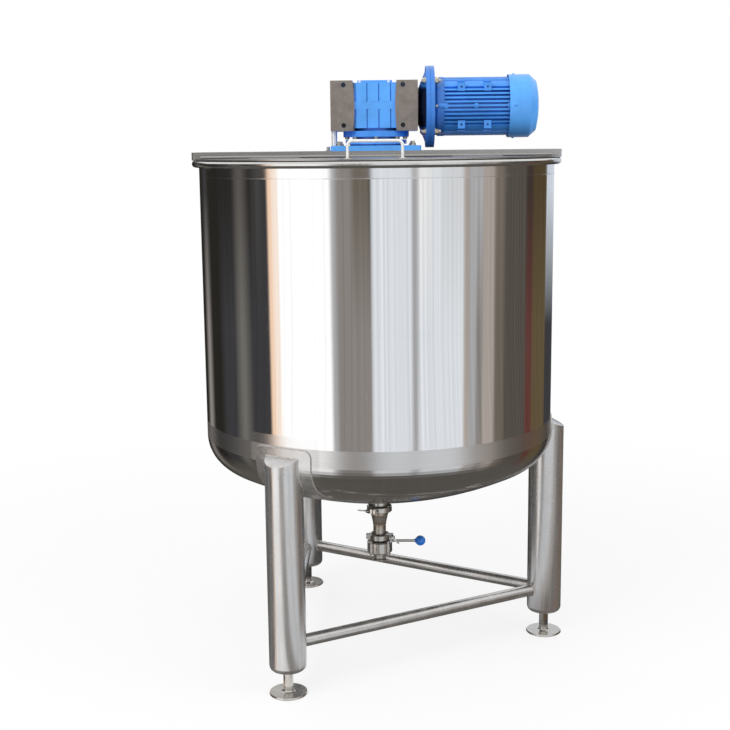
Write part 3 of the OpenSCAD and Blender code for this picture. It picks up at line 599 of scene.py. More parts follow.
def run_tree(holder, tree, inputs):
    """Runs a geometry tree on an object and returns the result as a plain mesh."""
    modifier = holder.modifiers.new("tree", "NODES")
    modifier.node_group = tree
    for item in tree.interface.items_tree:
        if item.item_type == "SOCKET" and item.in_out == "INPUT" and item.name in inputs:
            modifier[item.identifier] = inputs[item.name]
    graph = bpy.context.evaluated_depsgraph_get()
    mesh = bpy.data.meshes.new_from_object(holder.evaluated_get(graph))
    old = holder.data
    bpy.data.objects.remove(holder)
    bpy.data.meshes.remove(old)
    if not mesh.vertices:
        raise RuntimeError(f"the tree {tree.name} made nothing")
    return mesh


def holder_of(points, aims=None, paths=None):
    """An object with loose points that carry an aim, or with edges along paths."""
    mesh = bpy.data.meshes.new("holder")
    if paths is None:
        mesh.from_pydata(points, [], [])
        aim = mesh.attributes.new("aim", "FLOAT_VECTOR", "POINT")
        aim.data.foreach_set("vector", [c for a in aims for c in a])
    else:
        verts, edges = [], []
        for path, closed in paths:
            start = len(verts)
            verts += path
            edges += [(start + i, start + i + 1) for i in range(len(path) - 1)]
            if closed:
                edges.append((start + len(path) - 1, start))
        mesh.from_pydata(verts, edges, [])
    holder = bpy.data.objects.new("holder", mesh)
    bpy.context.scene.collection.objects.link(holder)
    return holder


def new_tree(name, sockets):
    """A geometry tree with named inputs, its input node and its output node."""
    tree = bpy.data.node_groups.new(name, "GeometryNodeTree")
    tree.interface.new_socket("Geometry", in_out="INPUT", socket_type="NodeSocketGeometry")
    for label, (kind, default) in sockets.items():
        made = tree.interface.new_socket(label, in_out="INPUT", socket_type=kind)
        if default is not None:
            made.default_value = default
    tree.interface.new_socket("Geometry", in_out="OUTPUT", socket_type="NodeSocketGeometry")
    return tree, tree.nodes.new("NodeGroupInput"), tree.nodes.new("NodeGroupOutput")


def bolt_tree():
    """Bolts on points: a washer, a chamfered hexagonal head and the thread's end, each turned to its aim."""
    if "tank_bolts" in bpy.data.node_groups:
        return bpy.data.node_groups["tank_bolts"]
    tree, given, out = new_tree("tank_bolts", {
        "Head Width": ("NodeSocketFloat", 19 * MM), "Head Height": ("NodeSocketFloat", 7 * MM),
        "Washer Width": ("NodeSocketFloat", 24 * MM), "Washer Height": ("NodeSocketFloat", 2 * MM),
        "Thread Width": ("NodeSocketFloat", 10 * MM), "Thread Out": ("NodeSocketFloat", 4 * MM),
        "Material": ("NodeSocketMaterial", None)})

    def half(label):
        return sums(tree, "MULTIPLY", given.outputs[label], 0.5)

    def raised(mesh, height):
        up = add(tree, "ShaderNodeCombineXYZ", {2: height}).outputs[0]
        return add(tree, "GeometryNodeTransform", {"Geometry": mesh, "Translation": up}).outputs[0]

    def drum(sides, radius, depth, base):
        made = add(tree, "GeometryNodeMeshCylinder", {"Vertices": sides, "Radius": radius, "Depth": depth})
        return raised(made.outputs[0], sums(tree, "MULTIPLY_ADD", depth, 0.5, base))

    washer_top, head = given.outputs["Washer Height"], given.outputs["Head Height"]
    washer = drum(20, half("Washer Width"), washer_top, 0.0)
    body_depth = sums(tree, "MULTIPLY", head, 0.82)
    body = drum(6, half("Head Width"), body_depth, washer_top)
    body_top = sums(tree, "ADD", washer_top, body_depth)
    cap = add(tree, "GeometryNodeMeshCone", {"Vertices": 6, "Radius Bottom": half("Head Width"),
              "Radius Top": sums(tree, "MULTIPLY", half("Head Width"), 0.82),
              "Depth": sums(tree, "MULTIPLY", head, 0.18)}).outputs[0]
    thread = drum(12, half("Thread Width"), sums(tree, "ADD", head, given.outputs["Thread Out"]), washer_top)
    joined = add(tree, "GeometryNodeJoinGeometry")
    for part in (washer, body, raised(cap, body_top), thread):
        tree.links.new(part, joined.inputs[0])
    aim = add(tree, "GeometryNodeInputNamedAttribute", {"Name": "aim"}, data_type="FLOAT_VECTOR").outputs[0]
    turn = add(tree, "FunctionNodeAlignRotationToVector", {"Vector": aim}, axis="Z").outputs[0]
    put = add(tree, "GeometryNodeInstanceOnPoints", {"Points": given.outputs["Geometry"],
              "Instance": joined.outputs[0], "Rotation": turn}).outputs[0]
    real = add(tree, "GeometryNodeRealizeInstances", {"Geometry": put}).outputs[0]
    done = add(tree, "GeometryNodeSetMaterial", {"Geometry": real, "Material": given.outputs["Material"]})
    tree.links.new(done.outputs[0], out.inputs[0])
    return tree


def bolts(name, body, places, inputs, finish_name="zinc"):
    """One piece of like bolts, each given as its seat and its aim."""
    holder = holder_of([p for p, _ in places], [a for _, a in places])
    mesh = run_tree(holder, bolt_tree(), {**inputs, "Material": finish(finish_name)})
    mesh.name = name
    return place_piece(name, mesh, finish_name, body)


def bead_tree():
    """A rippled weld bead along paths."""
    if "tank_bead" in bpy.data.node_groups:
        return bpy.data.node_groups["tank_bead"]
    tree, given, out = new_tree("tank_bead", {
        "Width": ("NodeSocketFloat", 3.4 * MM), "Pitch": ("NodeSocketFloat", 1.5 * MM),
        "Seed": ("NodeSocketInt", 3), "Material": ("NodeSocketMaterial", None)})
    curve = add(tree, "GeometryNodeMeshToCurve", {"Mesh": given.outputs["Geometry"]}).outputs[0]
    even = add(tree, "GeometryNodeResampleCurve", {"Curve": curve, "Length": given.outputs["Pitch"]}, mode="LENGTH")
    ripple = add(tree, "GeometryNodeMeshUVSphere", {"Segments": 8, "Rings": 5,
                 "Radius": sums(tree, "MULTIPLY", given.outputs["Width"], 0.5)}).outputs[0]
    along = add(tree, "FunctionNodeAlignRotationToVector",
                {"Vector": add(tree, "GeometryNodeInputTangent").outputs[0]}, axis="Z").outputs[0]
    vary = add(tree, "FunctionNodeRandomValue", {"Seed": given.outputs["Seed"]}, data_type="FLOAT")
    vary.inputs[2].default_value, vary.inputs[3].default_value = 0.88, 1.1
    scale = add(tree, "ShaderNodeCombineXYZ", {0: vary.outputs[1], 1: vary.outputs[1], 2: 0.62}).outputs[0]
    put = add(tree, "GeometryNodeInstanceOnPoints", {"Points": even.outputs[0], "Instance": ripple,
              "Rotation": along, "Scale": scale}).outputs[0]
    real = add(tree, "GeometryNodeRealizeInstances", {"Geometry": put}).outputs[0]
    smooth = add(tree, "GeometryNodeSetShadeSmooth", {"Geometry": real}).outputs[0]
    done = add(tree, "GeometryNodeSetMaterial", {"Geometry": smooth, "Material": given.outputs["Material"]})
    tree.links.new(done.outputs[0], out.inputs[0])
    return tree


def beads(name, body, paths, width=None):
    """One piece of weld beads along paths of (points, closed)."""
    weld = bpy.context.scene.tank_weld
    mesh = run_tree(holder_of(None, paths=paths), bead_tree(),
                    {"Width": width or weld.width, "Pitch": weld.pitch, "Material": finish("weld_metal")})
    mesh.name = name
    return place_piece(name, mesh, "weld_metal", body, smooth_angle=None)


def ring(center, axis, radius, count=96):
    """Points round a circle."""
    turn = Vector(axis).to_track_quat("Z", "Y").to_matrix()
    return [tuple(Vector(center) + turn @ Vector((radius * math.cos(t), radius * math.sin(t), 0)))
            for t in (2 * math.pi * k / count for k in range(count))]


def leg_center(turn):
    a = math.radians(turn)
    return Vector((LEG_CIRCLE * math.cos(a), LEG_CIRCLE * math.sin(a), 0))


def vessel_line():
    """(Height, radius) along the outer surface of the head, read from its own mesh as the hull of its section."""
    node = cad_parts["bottom_head"]
    points = sorted({(round(p.z, 5), round(math.hypot(p.x, p.y), 5))
                     for p in (node.matrix_world @ v.co for v in node.data.vertices)})
    line = []
    for z, r in points:
        while len(line) > 1 and ((line[-1][0] - line[-2][0]) * (r - line[-2][1]) >=
                                 (z - line[-2][0]) * (line[-1][1] - line[-2][1])):
            line.pop()
        line.append((z, r))
    return line


VESSEL_LINE = vessel_line()


def skin_radius(z):
    """Radius of the vessel's outer surface at a height."""
    for (z0, r0), (z1, r1) in zip(VESSEL_LINE, VESSEL_LINE[1:]):
        if z0 <= z <= z1 and z1 > z0:
            return r0 + (r1 - r0) * (z - z0) / (z1 - z0)
    return SHELL_R if z > VESSEL_LINE[-1][0] else 0.0


def skin_height(radius, off):
    """Height at which the surface that stands off the skin reaches a radius, below the skirt."""
    low, high = VESSEL_LINE[0][0], WELD_Z - 49 * MM
    for _ in range(40):
        z = (low + high) / 2
        low, high = (z, high) if skin_radius(z) + off < radius else (low, z)
    return low


def spun(point, turn):
    """A point turned about the tank's axis by degrees."""
    return tuple(Matrix.Rotation(math.radians(turn), 3, "Z") @ Vector(point))


def on_vessel(y, z, off, turn):
    """A point on the vessel's skin, given as seen square on from a leg's side."""
    radius = skin_radius(z) + off
    return spun((math.sqrt(radius ** 2 - y ** 2), y, z), turn)


def turned(name, body, profile, places, finish_name, segments=24):
    """One piece of like turned shapes, its profile in millimetres along and out from each axis."""
    bm = bmesh.new()
    for at, axis in places:
        turn = Vector(axis).to_track_quat("X", "Z").to_matrix().to_4x4()
        lathe(bm, [(x * MM, r * MM) for x, r in profile], segments, Matrix.Translation(Vector(at)) @ turn)
    return place_piece(name, mesh_from(bm, name), finish_name, body)


def wing_nut(name, at, axis, spread, reach, sweep=1.0):
    """Cast wing nut: a turned hub on the clamp's bolt and two upswept wings."""
    axis = axis.normalized()
    spread = (spread - axis * spread.dot(axis)).normalized()
    thin = axis.cross(spread)
    bm = bmesh.new()
    hub = Matrix((axis, spread, thin)).transposed().to_4x4()
    lathe(bm, [(-2 * MM, 0), (-2 * MM, 7 * MM), (6 * MM, 5.5 * MM), (9 * MM, 4.5 * MM), (9 * MM, 0)], 20,
          Matrix.Translation(at) @ hub)
    outline = [(0.12, -1), (0.45, 1.5), (0.8, 6), (0.97, 9), (1.0, 12), (0.93, 14.5), (0.75, 15), (0.5, 12), (0.2, 7)]
    for side in (-1, 1):
        rings = []
        for lift, inset in ((-1.9, 0.8), (-1.1, 0), (1.1, 0), (1.9, 0.8)):
            rings.append([bm.verts.new(at + spread * side * (u * reach - inset * MM) +
                                       axis * (v * sweep * (1 - 0.06 * inset) * MM) + thin * lift * MM) for u, v in outline])
        for first, second in zip(rings, rings[1:]):
            for k in range(len(outline)):
                n = (k + 1) % len(outline)
                bm.faces.new((first[k], first[n], second[n], second[k]))
        bm.faces.new(rings[0][::-1])
        bm.faces.new(rings[-1])
    return place_piece(name, mesh_from(bm, name), "fitting", TANK)


FLOOR_GAP = 0.4 * MM
EYE = Vector((0.0232, -3.5862, 1.4606))
# Studio cards by azimuth in degrees, from straight ahead (0, towards the camera) to the right: where each
# begins, its tone up high and its tone near the floor.
BLACK, SMOKE, SLATE, TAUPE = (0.026, 0.024, 0.020), (0.055, 0.054, 0.058), (0.13, 0.12, 0.11), (0.19, 0.163, 0.134)
STONE, ASH, FOG, WHITE = (0.31, 0.285, 0.265), (0.50, 0.50, 0.51), (0.90, 0.93, 0.97), (1.35, 1.35, 1.35)
PEACH, CREAM, SAND, RUST = (1.12, 0.80, 0.58), (1.2, 1.02, 0.88), (0.50, 0.44, 0.40), (0.065, 0.046, 0.038)
OCHRE, SKY, STEEL = (0.10, 0.072, 0.036), (0.75, 0.80, 0.88), (0.115, 0.10, 0.086)
CARDS = ((-180, BLACK, BLACK), (-150, SMOKE, STONE), (-140, BLACK, BLACK), (-120, (0.03, 0.028, 0.026), SMOKE), (-101, SLATE, (0.2, 0.19, 0.17)),
         (-91, BLACK, SMOKE), (-84, (0.078, 0.074, 0.072), SMOKE), (-76, (0.04, 0.04, 0.047), SMOKE), (-72, PEACH, PEACH),
         (-68.5, CREAM, CREAM), (-64, WHITE, WHITE), (-28.6, ASH, ASH), (-25, STONE, STONE), (-15, TAUPE, STONE),
         (-4.4, SMOKE, STONE), (-3.4, FOG, FOG), (21.6, ASH, ASH), (25.8, (1.0, 1.0, 1.0), FOG), (34.5, FOG, FOG),
         (41.2, (0.8, 0.82, 0.84), FOG), (56, SAND, SAND), (60, ASH, ASH), (65, ASH, STONE), (70, SAND, SAND),
         (79.5, (0.225, 0.19, 0.155), TAUPE), (88, STEEL, STEEL), (110, RUST, (0.16, 0.055, 0.048)), (118, OCHRE, (0.15, 0.11, 0.06)),
         (140, SKY, SMOKE), (180, SKY, SMOKE))
CARD_EDGE, SOFT_EDGE = 0.9, 4.0


def card_tone(turn, high):
    """The cards' tone at an azimuth, near the floor (0) or up high (1), with a soft edge between cards."""
    for (_, *before), (start, *after) in zip(CARDS, CARDS[1:]):
        edge = SOFT_EDGE if start < -73 else CARD_EDGE
        if turn < start + edge or start == 180:
            into = min(1.0, max(0.0, (turn - start + edge) / (2 * edge)))
            first = [a + (b - a) * high for a, b in zip(before[1], before[0])]
            second = [a + (b - a) * high for a, b in zip(after[1], after[0])]
            return [a + (b - a) * into for a, b in zip(first, second)]


def reflected_point(turn, radius):
    """Where a level ray that the shell reflects towards an azimuth crosses a circle round the tank."""
    away = math.hypot(EYE.x, EYE.y)
    seat = turn / 2
    for _ in range(8):
        seen = math.atan2(SHELL_R * math.sin(seat), away - SHELL_R * math.cos(seat))
        seat = (turn - seen) / 2
    slant = SHELL_R * math.sin(turn - seat)
    reach = math.sqrt(max(0.0, radius * radius - slant * slant)) - SHELL_R * math.cos(turn - seat)
    return (SHELL_R * math.sin(seat) + reach * math.sin(turn), -SHELL_R * math.cos(seat) - reach * math.cos(turn))


# ---------------------------------------------------------------- operators


class PieceOperator(bpy.types.Operator):
    """Shared end of every operator: the work is done in make()."""
    bl_options = {"REGISTER", "UNDO"}

    def execute(self, context):
        self.make(context.scene)
        return {"FINISHED"}


class TANK_OT_vessel(PieceOperator):
    """Finish the shell, its rim bead and its dished head"""
    bl_idname = "tank.vessel"
    bl_label = "Vessel"

    def make(self, scene):
        cover("shell_wall", "mirror_shell")
        cover("rim_bead", "satin_rim")
        cover("bottom_head", "satin_head")


class TANK_OT_legs(PieceOperator):
    """Finish the legs, doublers, feet and braces"""
    bl_idname = "tank.legs"
    bl_label = "Legs"

    def make(self, scene):
        for side in ("right", "rear", "front"):
            cover("leg_" + side, "satin_tube")
            cover("leg_pad_" + side, "doubler")
            cover("foot_" + side, "fitting")
        for side in ("right", "left", "front"):
            cover("brace_" + side, "satin_brace")
        self.caps()

    def caps(self):
        """Welded caps that close the legs' sloped tops, each a lens with a rounded edge."""
        face = SHELL_R + 4 * MM
        edge = next(a for a in range(1, 180) if math.hypot(LEG_CIRCLE + LEG_R * math.cos(math.radians(a)),
                    LEG_R * math.sin(math.radians(a))) < face)
        bm = bmesh.new()
        for turn in LEG_TURNS:
            rings = []
            for grow, drop in ((0.1, 40), (0.1, 1.6), (-0.3, 0.6), (-1.4, 0)):
                radius = LEG_R + grow * MM
                line = [(LEG_CIRCLE + radius * math.cos(math.radians(a)), radius * math.sin(math.radians(a)))
                        for a in range(-edge, edge + 1, 4)]
                side = line[-1][1]
                line += [(math.sqrt(face ** 2 - y ** 2), y) for y in (side * (1 - k / 5) for k in range(1, 10))]
                rings.append([bm.verts.new(spun((x, y, LEG_TOP - (x - face) * math.tan(math.radians(24)) * (drop < 40)
                                                 - drop * MM), turn)) for x, y in line])
            for first, second in zip(rings, rings[1:]):
                for k in range(len(first)):
                    n = (k + 1) % len(first)
                    bm.faces.new((first[k], first[n], second[n], second[k]))
            bm.faces.new(rings[0][::-1])
            bm.faces.new(rings[-1])
        place_piece("leg_caps", mesh_from(bm, "leg_caps"), "satin_tube", TANK, 40.0)


class TANK_OT_bridge(PieceOperator):
    """Finish the bridge, the half lids, their hinges and their handles"""
    bl_idname = "tank.bridge"
    bl_label = "Bridge and lids"

    def make(self, scene):
        for name in ("bridge", "front_lid", "rear_lid", "front_lid_leaf", "front_hinge", "rear_hinge"):
            cover(name, "satin_plate")
        for name in ("front_lid_grip", "rear_lid_grip"):
            cover(name, "bright_rod")
        cover("bridge_clip", "fitting")


class TANK_OT_outlet(PieceOperator):
    """Finish the outlet, its clamps and the valve with its lever"""
    bl_idname = "tank.outlet"
    bl_label = "Outlet"

    def make(self, scene):
        for name in ("outlet_neck", "outlet_clamp", "valve_clamp", "valve_body", "valve_disc", "valve_lever"):
            cover(name, "fitting")
        cover("outlet_reducer", "tinted_fitting")
        cover("lever_knob", "ball_plastic")


class TANK_OT_gear(PieceOperator):
    """Finish the stand, the gear housing and its cover"""
    bl_idname = "tank.gear"
    bl_label = "Gear unit"

    def make(self, scene):
        cover("stand", "lit_enamel")
        cover("output_flange", "enamel")
        cover("gear_cover", "lit_enamel")
        cover("gear_housing", "lit_casting_enamel")
        cover("stay_post", "bright_rod")


class TANK_OT_motor(PieceOperator):
    """Finish the adaptor, the motor and its terminal box"""
    bl_idname = "tank.motor"
    bl_label = "Motor"

    def make(self, scene):
        for name in ("adaptor_flange", "motor_shield"):
            cover(name, "shaded_enamel")
        cover("motor_frame", "enamel")
        cover("terminal_box", "enamel")
        cover("fan_cowl", "lit_enamel")
        cover("input_adaptor", "shaded_mouth_enamel")


class TANK_OT_agitator(PieceOperator):
    """Finish the agitator inside the tank"""
    bl_idname = "tank.agitator"
    bl_label = "Agitator"

    def make(self, scene):
        cover("agitator_shaft", "satin_brace")
        cover("agitator_blades", "satin_plate")


class TANK_OT_fasteners(PieceOperator):
    """Add the bolts, nuts, studs and screws of the drive"""
    bl_idname = "tank.fasteners"
    bl_label = "Fasteners"

    def make(self, scene):
        fastener = scene.tank_fastener
        up, down, right, left = (0, 0, 1), (0, 0, -1), (1, 0, 0), (-1, 0, 0)
        corner = PLATE_HALF - 22 * MM
        bolts("stand_nuts", TANK, [((sx * corner, sy * corner, PLATE_TOP), up) for sx in (-1, 1) for sy in (-1, 1)],
              {"Head Width": 0.74 * fastener.head, "Head Height": 5.5 * MM, "Thread Out": 5 * MM,
               "Thread Width": 8 * MM, "Washer Width": 17 * MM})
        circle = OUT_R - 11 * MM
        turns = [2 * math.pi * k / fastener.flange_count for k in range(fastener.flange_count)]
        bolts("output_bolts", TANK, [((circle * math.cos(a), circle * math.sin(a), OUT_LOW), down) for a in turns],
              {"Head Width": 0.68 * fastener.head, "Head Height": 5 * MM, "Thread Out": 0.5 * MM,
               "Thread Width": 7 * MM, "Washer Width": 15 * MM, "Washer Height": 1.2 * MM})
        circle = FLANGE_R - 16 * MM
        spots = [(circle * math.cos(a), INPUT_Z + circle * math.sin(a)) for a in
                 (2 * math.pi * (k + 0.5) / fastener.motor_count for k in range(fastener.motor_count))]
        bolts("motor_bolts", TANK, [((FLANGE_RIGHT, *at), right) for at in spots],
              {"Head Width": fastener.head, "Head Height": 9 * MM, "Thread Out": 6 * MM, "Washer Width": 22 * MM})
        bolts("motor_nuts", TANK, [((FLANGE_LEFT, *at), left) for at in spots],
              {"Head Width": 0.9 * fastener.head, "Head Height": 8 * MM, "Thread Out": 3 * MM,
               "Washer Width": 20 * MM})
        small = {"Head Width": 9 * MM, "Head Height": 4 * MM, "Washer Width": 11 * MM, "Washer Height": 1 * MM,
                 "Thread Width": 5 * MM, "Thread Out": 0.4 * MM}
        cover_low, (_, cover_back) = span("gear_cover", 2)[0], span("gear_cover", 1)
        ledge = cover_back + 6 * MM
        bolts("cover_screws", TANK, [((x, sy * ledge, cover_low), up) for x in (-44 * MM, 36 * MM) for sy in (-1, 1)],
              {**small, "Thread Out": 1 * MM}, "bright_rod")
        box_back, box_mid = span("terminal_box", 1)[1], sum(span("terminal_box", 0)) / 2
        bolts("box_screws", TANK, [((box_mid + sx * 38 * MM, box_back, INPUT_Z + sz * 32 * MM), (0, 1, 0))
                                   for sx in (-1, 1) for sz in (-1, 1)],
              {**small, "Head Width": 7 * MM, "Head Height": 2.4 * MM, "Washer Width": 9 * MM})


class TANK_OT_motor_details(PieceOperator):
    """Add the motor's shield bosses, its small screws, its cable gland and painted shade for the cowl's air holes"""
    bl_idname = "tank.motor_details"
    bl_label = "Motor details"

    def make(self, scene):
        around = [(math.cos(math.radians(a)), math.sin(math.radians(a))) for a in (0, 90, 180, 270)]
        reach = FRAME_R - 7 * MM
        bosses = [((FRAME_LEFT - 19 * MM, c * reach, INPUT_Z + s * reach), (1, 0, 0)) for c, s in around]
        turned("shield_bosses", TANK, ((0, 0), (0, 6.5), (1.5, 8), (19, 8), (19, 0)), bosses, "enamel")
        bolts("shield_screws", TANK, [((x, y, z), (-1, 0, 0)) for (x, y, z), _ in bosses],
              {"Head Width": 10 * MM, "Head Height": 4.5 * MM, "Washer Width": 12 * MM, "Washer Height": 1 * MM,
               "Thread Width": 6 * MM, "Thread Out": 0.4 * MM})
        dome = ((-0.5, 0), (-0.5, 4.2), (0.8, 4.2), (2.0, 3.2), (2.6, 1.6), (2.6, 0.9), (1.6, 0.9), (1.6, 0))
        turned("cowl_screws", TANK, dome, [((COWL_LEFT + 16 * MM, c * COWL_R, INPUT_Z + s * COWL_R), (0, c, s))
                                           for c, s in around], "lit_enamel")
        turned("frame_screws", TANK, dome, [((x, -FRAME_R, INPUT_Z), (0, -1, 0))
                                            for x in (FRAME_LEFT + 87.5 * MM, FRAME_RIGHT - 5 * MM)],
               "enamel", 16)
        turned("cable_gland", TANK, ((0, 0), (0, 13), (5, 13), (5, 10.5), (9, 10.5), (9, 12), (17, 12), (20, 8),
                                     (20, 5), (12, 5), (12, 0)),
               [((sum(span("terminal_box", 0)) / 2, FRAME_BACK + 20 * MM, BOX_LOW), (0, 0, -1))],
               "dark_steel_and_hole_shade", 6)
        self.air_hole_shade()

    def air_hole_shade(self):
        """Rings of air holes in the cowl's end, each a thin dark disc of painted shade for the shade seen through it.
        """
        points = []
        for ring_no, radius in enumerate((14, 22, 30, 38, 46)):
            count = 6 * (ring_no + 2)
            for k in range(count):
                a = 2 * math.pi * (k + 0.5 * (ring_no % 2)) / count
                dip = 1.5 * MM * (radius / (1000 * (COWL_R - 40 * MM)))
                points.append(((COWL_RIGHT - dip, radius * MM * math.cos(a), INPUT_Z + radius * MM * math.sin(a)),
                               (1, 0, 0)))
        # Painted shade: thin dark discs stand for the shade inside the air holes.
        bolts("cowl_air_hole_shade", TANK, points,
              {"Head Width": 4.6 * MM, "Head Height": 0.02 * MM, "Washer Width": 5 * MM, "Washer Height": 0.1 * MM,
               "Thread Width": 4 * MM, "Thread Out": 0.0}, "dark_steel_and_hole_shade")


class TANK_OT_outlet_details(PieceOperator):
    """Add the wing nuts of the two clamps and the bolted ears of the valve"""
    bl_idname = "tank.outlet_details"
    bl_label = "Outlet details"

    def make(self, scene):
        pin_out = 13.5 * MM
        upper, lower = 46 * MM, 39.25 * MM
        turn = math.radians(65)
        out = Vector((-math.cos(turn), -math.sin(turn), 0))
        along = Vector((-math.sin(turn), math.cos(turn), 0))
        wing_nut("outlet_wing_nut", Vector((0, 0, CLAMP_Z)) + out * upper + along * pin_out, along,
                 out + Vector((0, 0, 0.3)), 24 * MM, 1.8)
        wing_nut("valve_wing_nut", Vector((lower, -pin_out, VALVE_CLAMP_Z)), Vector((0, -1, 0)),
                 Vector((0.8, 0, -0.7)), 25 * MM)
        drum_low, drum_top = VALVE_CLAMP_Z - 49.4 * MM, VALVE_CLAMP_Z - 11.4 * MM
        ears = [Vector((36.5 * MM * math.cos(a), 36.5 * MM * math.sin(a), drum_low)) for a in
                (math.radians(45 + 90 * k) for k in range(4))]
        high = (drum_top - drum_low) / MM
        turned("valve_ears", TANK, ((3, 0), (3, 5.5), (4, 6.5), (high - 4, 6.5), (high - 3, 5.5), (high - 3, 0)),
               [(ear, (0, 0, 1)) for ear in ears], "fitting")
        bolts("valve_bolts", TANK, [(ear + Vector((0, 0, (high - 3) * MM)), (0, 0, 1)) for ear in ears],
              {"Head Width": 9.5 * MM, "Head Height": 4.5 * MM, "Washer Width": 11 * MM, "Washer Height": 1 * MM,
               "Thread Width": 5 * MM, "Thread Out": 1 * MM}, "fitting")
        bolts("valve_nuts", TANK, [(ear + Vector((0, 0, 3 * MM)), (0, 0, -1)) for ear in ears],
              {"Head Width": 9.5 * MM, "Head Height": 4 * MM, "Washer Width": 11 * MM, "Washer Height": 1 * MM,
               "Thread Width": 5 * MM, "Thread Out": 1.5 * MM}, "fitting")


class TANK_OT_welds(PieceOperator):
    """Add the weld beads round the pads, the legs, the braces and the outlet"""
    bl_idname = "tank.welds"
    bl_label = "Welds"

    def make(self, scene):
        beads("pad_welds", TANK, [(self.pad_outline(turn), True) for turn in LEG_TURNS], 3 * MM)
        beads("leg_welds", TANK, [(self.leg_seam(turn), True) for turn in LEG_TURNS], 5 * MM)
        beads("foot_welds", TANK, [(ring(leg_center(turn) + Vector((0, 0, LEG_LOW)), (0, 0, 1), 15 * MM, 48), True)
                                   for turn in LEG_TURNS])
        beads("brace_welds", TANK, [(self.brace_end(a, b), True) for a in LEG_TURNS for b in LEG_TURNS if a != b],
              4 * MM)
        beads("outlet_welds", TANK, [(ring((0, 0, HEAD_LOW), (0, 0, 1), 26.8 * MM), True)] +
              [(ring((0, 0, z), (0, 0, 1), radius), True) for z, radius in
               zip(REDUCER_SEAMS, (25.4 * MM, 19.2 * MM))], 2.6 * MM)
        grip = span("front_lid_grip", 0)[1] - 8 * MM
        for name, body, side in (("front_grip_welds", LID, -1), ("rear_grip_welds", TANK, 1)):
            node = ("front" if side < 0 else "rear") + "_lid_grip"
            middle = sum(span(node, 1)) / 2
            beads(name, body, [(ring((x, middle, LID_TOP), (0, 0, 1), 8.4 * MM, 32), True) for x in (-grip, grip)],
                  2 * MM)

    def pad_outline(self, turn):
        """Points round a doubler, on the vessel's skin."""
        half, high, corner = span("leg_pad_right", 1)[1], (PAD_TOP - PAD_LOW) / 2, 20 * MM
        points = []
        for k, (sy, sz) in enumerate(((1, 1), (-1, 1), (-1, -1), (1, -1))):
            for step in range(7):
                a = math.radians(90 * k + 15 * step)
                points.append((sy * (half - corner) + corner * math.cos(a),
                               sz * (high - corner) + corner * math.sin(a)))
        dense = []
        for (y0, z0), (y1, z1) in zip(points, points[1:] + points[:1]):
            steps = max(1, int(math.hypot(y1 - y0, z1 - z0) / (4 * MM)))
            dense += [(y0 + (y1 - y0) * i / steps, z0 + (z1 - z0) * i / steps) for i in range(steps)]
        return [on_vessel(y, PAD_LOW + high + z, 1.5 * MM, turn) for y, z in dense]

    def leg_seam(self, turn):
        """Points round the joint between a leg and its doubler."""
        face = 4 * MM
        edge = next(a for a in range(1, 180) if math.hypot(LEG_CIRCLE + LEG_R * math.cos(math.radians(a)),
                    LEG_R * math.sin(math.radians(a))) < SHELL_R + face)
        side = LEG_R * math.sin(math.radians(edge))
        count = 24
        top = [on_vessel(side * (1 - 2 * i / count), LEG_TOP, face, turn) for i in range(count + 1)]
        seam = []
        for a in range(360 - edge, edge, -3):
            x, y = LEG_CIRCLE + LEG_R * math.cos(math.radians(a)), LEG_R * math.sin(math.radians(a))
            seam.append(spun((x, y, skin_height(math.hypot(x, y), face)), turn))
        return top + seam

    def brace_end(self, a, b):
        """Points round the end of a brace on the tube of the leg that it meets."""
        start, end = leg_center(a), leg_center(b)
        level = (span("brace_right", 2)[0] + span("brace_right", 2)[1]) / 2
        radius = (span("brace_right", 2)[1] - span("brace_right", 2)[0]) / 2
        ahead = (end - start).normalized()
        across = Vector((-ahead.y, ahead.x, 0))
        points = []
        for k in range(60):
            u = 2 * math.pi * k / 60
            side = radius * math.cos(u)
            points.append(tuple(start + ahead * math.sqrt(LEG_R ** 2 - side ** 2) + across * side +
                                Vector((0, 0, level + radius * math.sin(u)))))
        return points


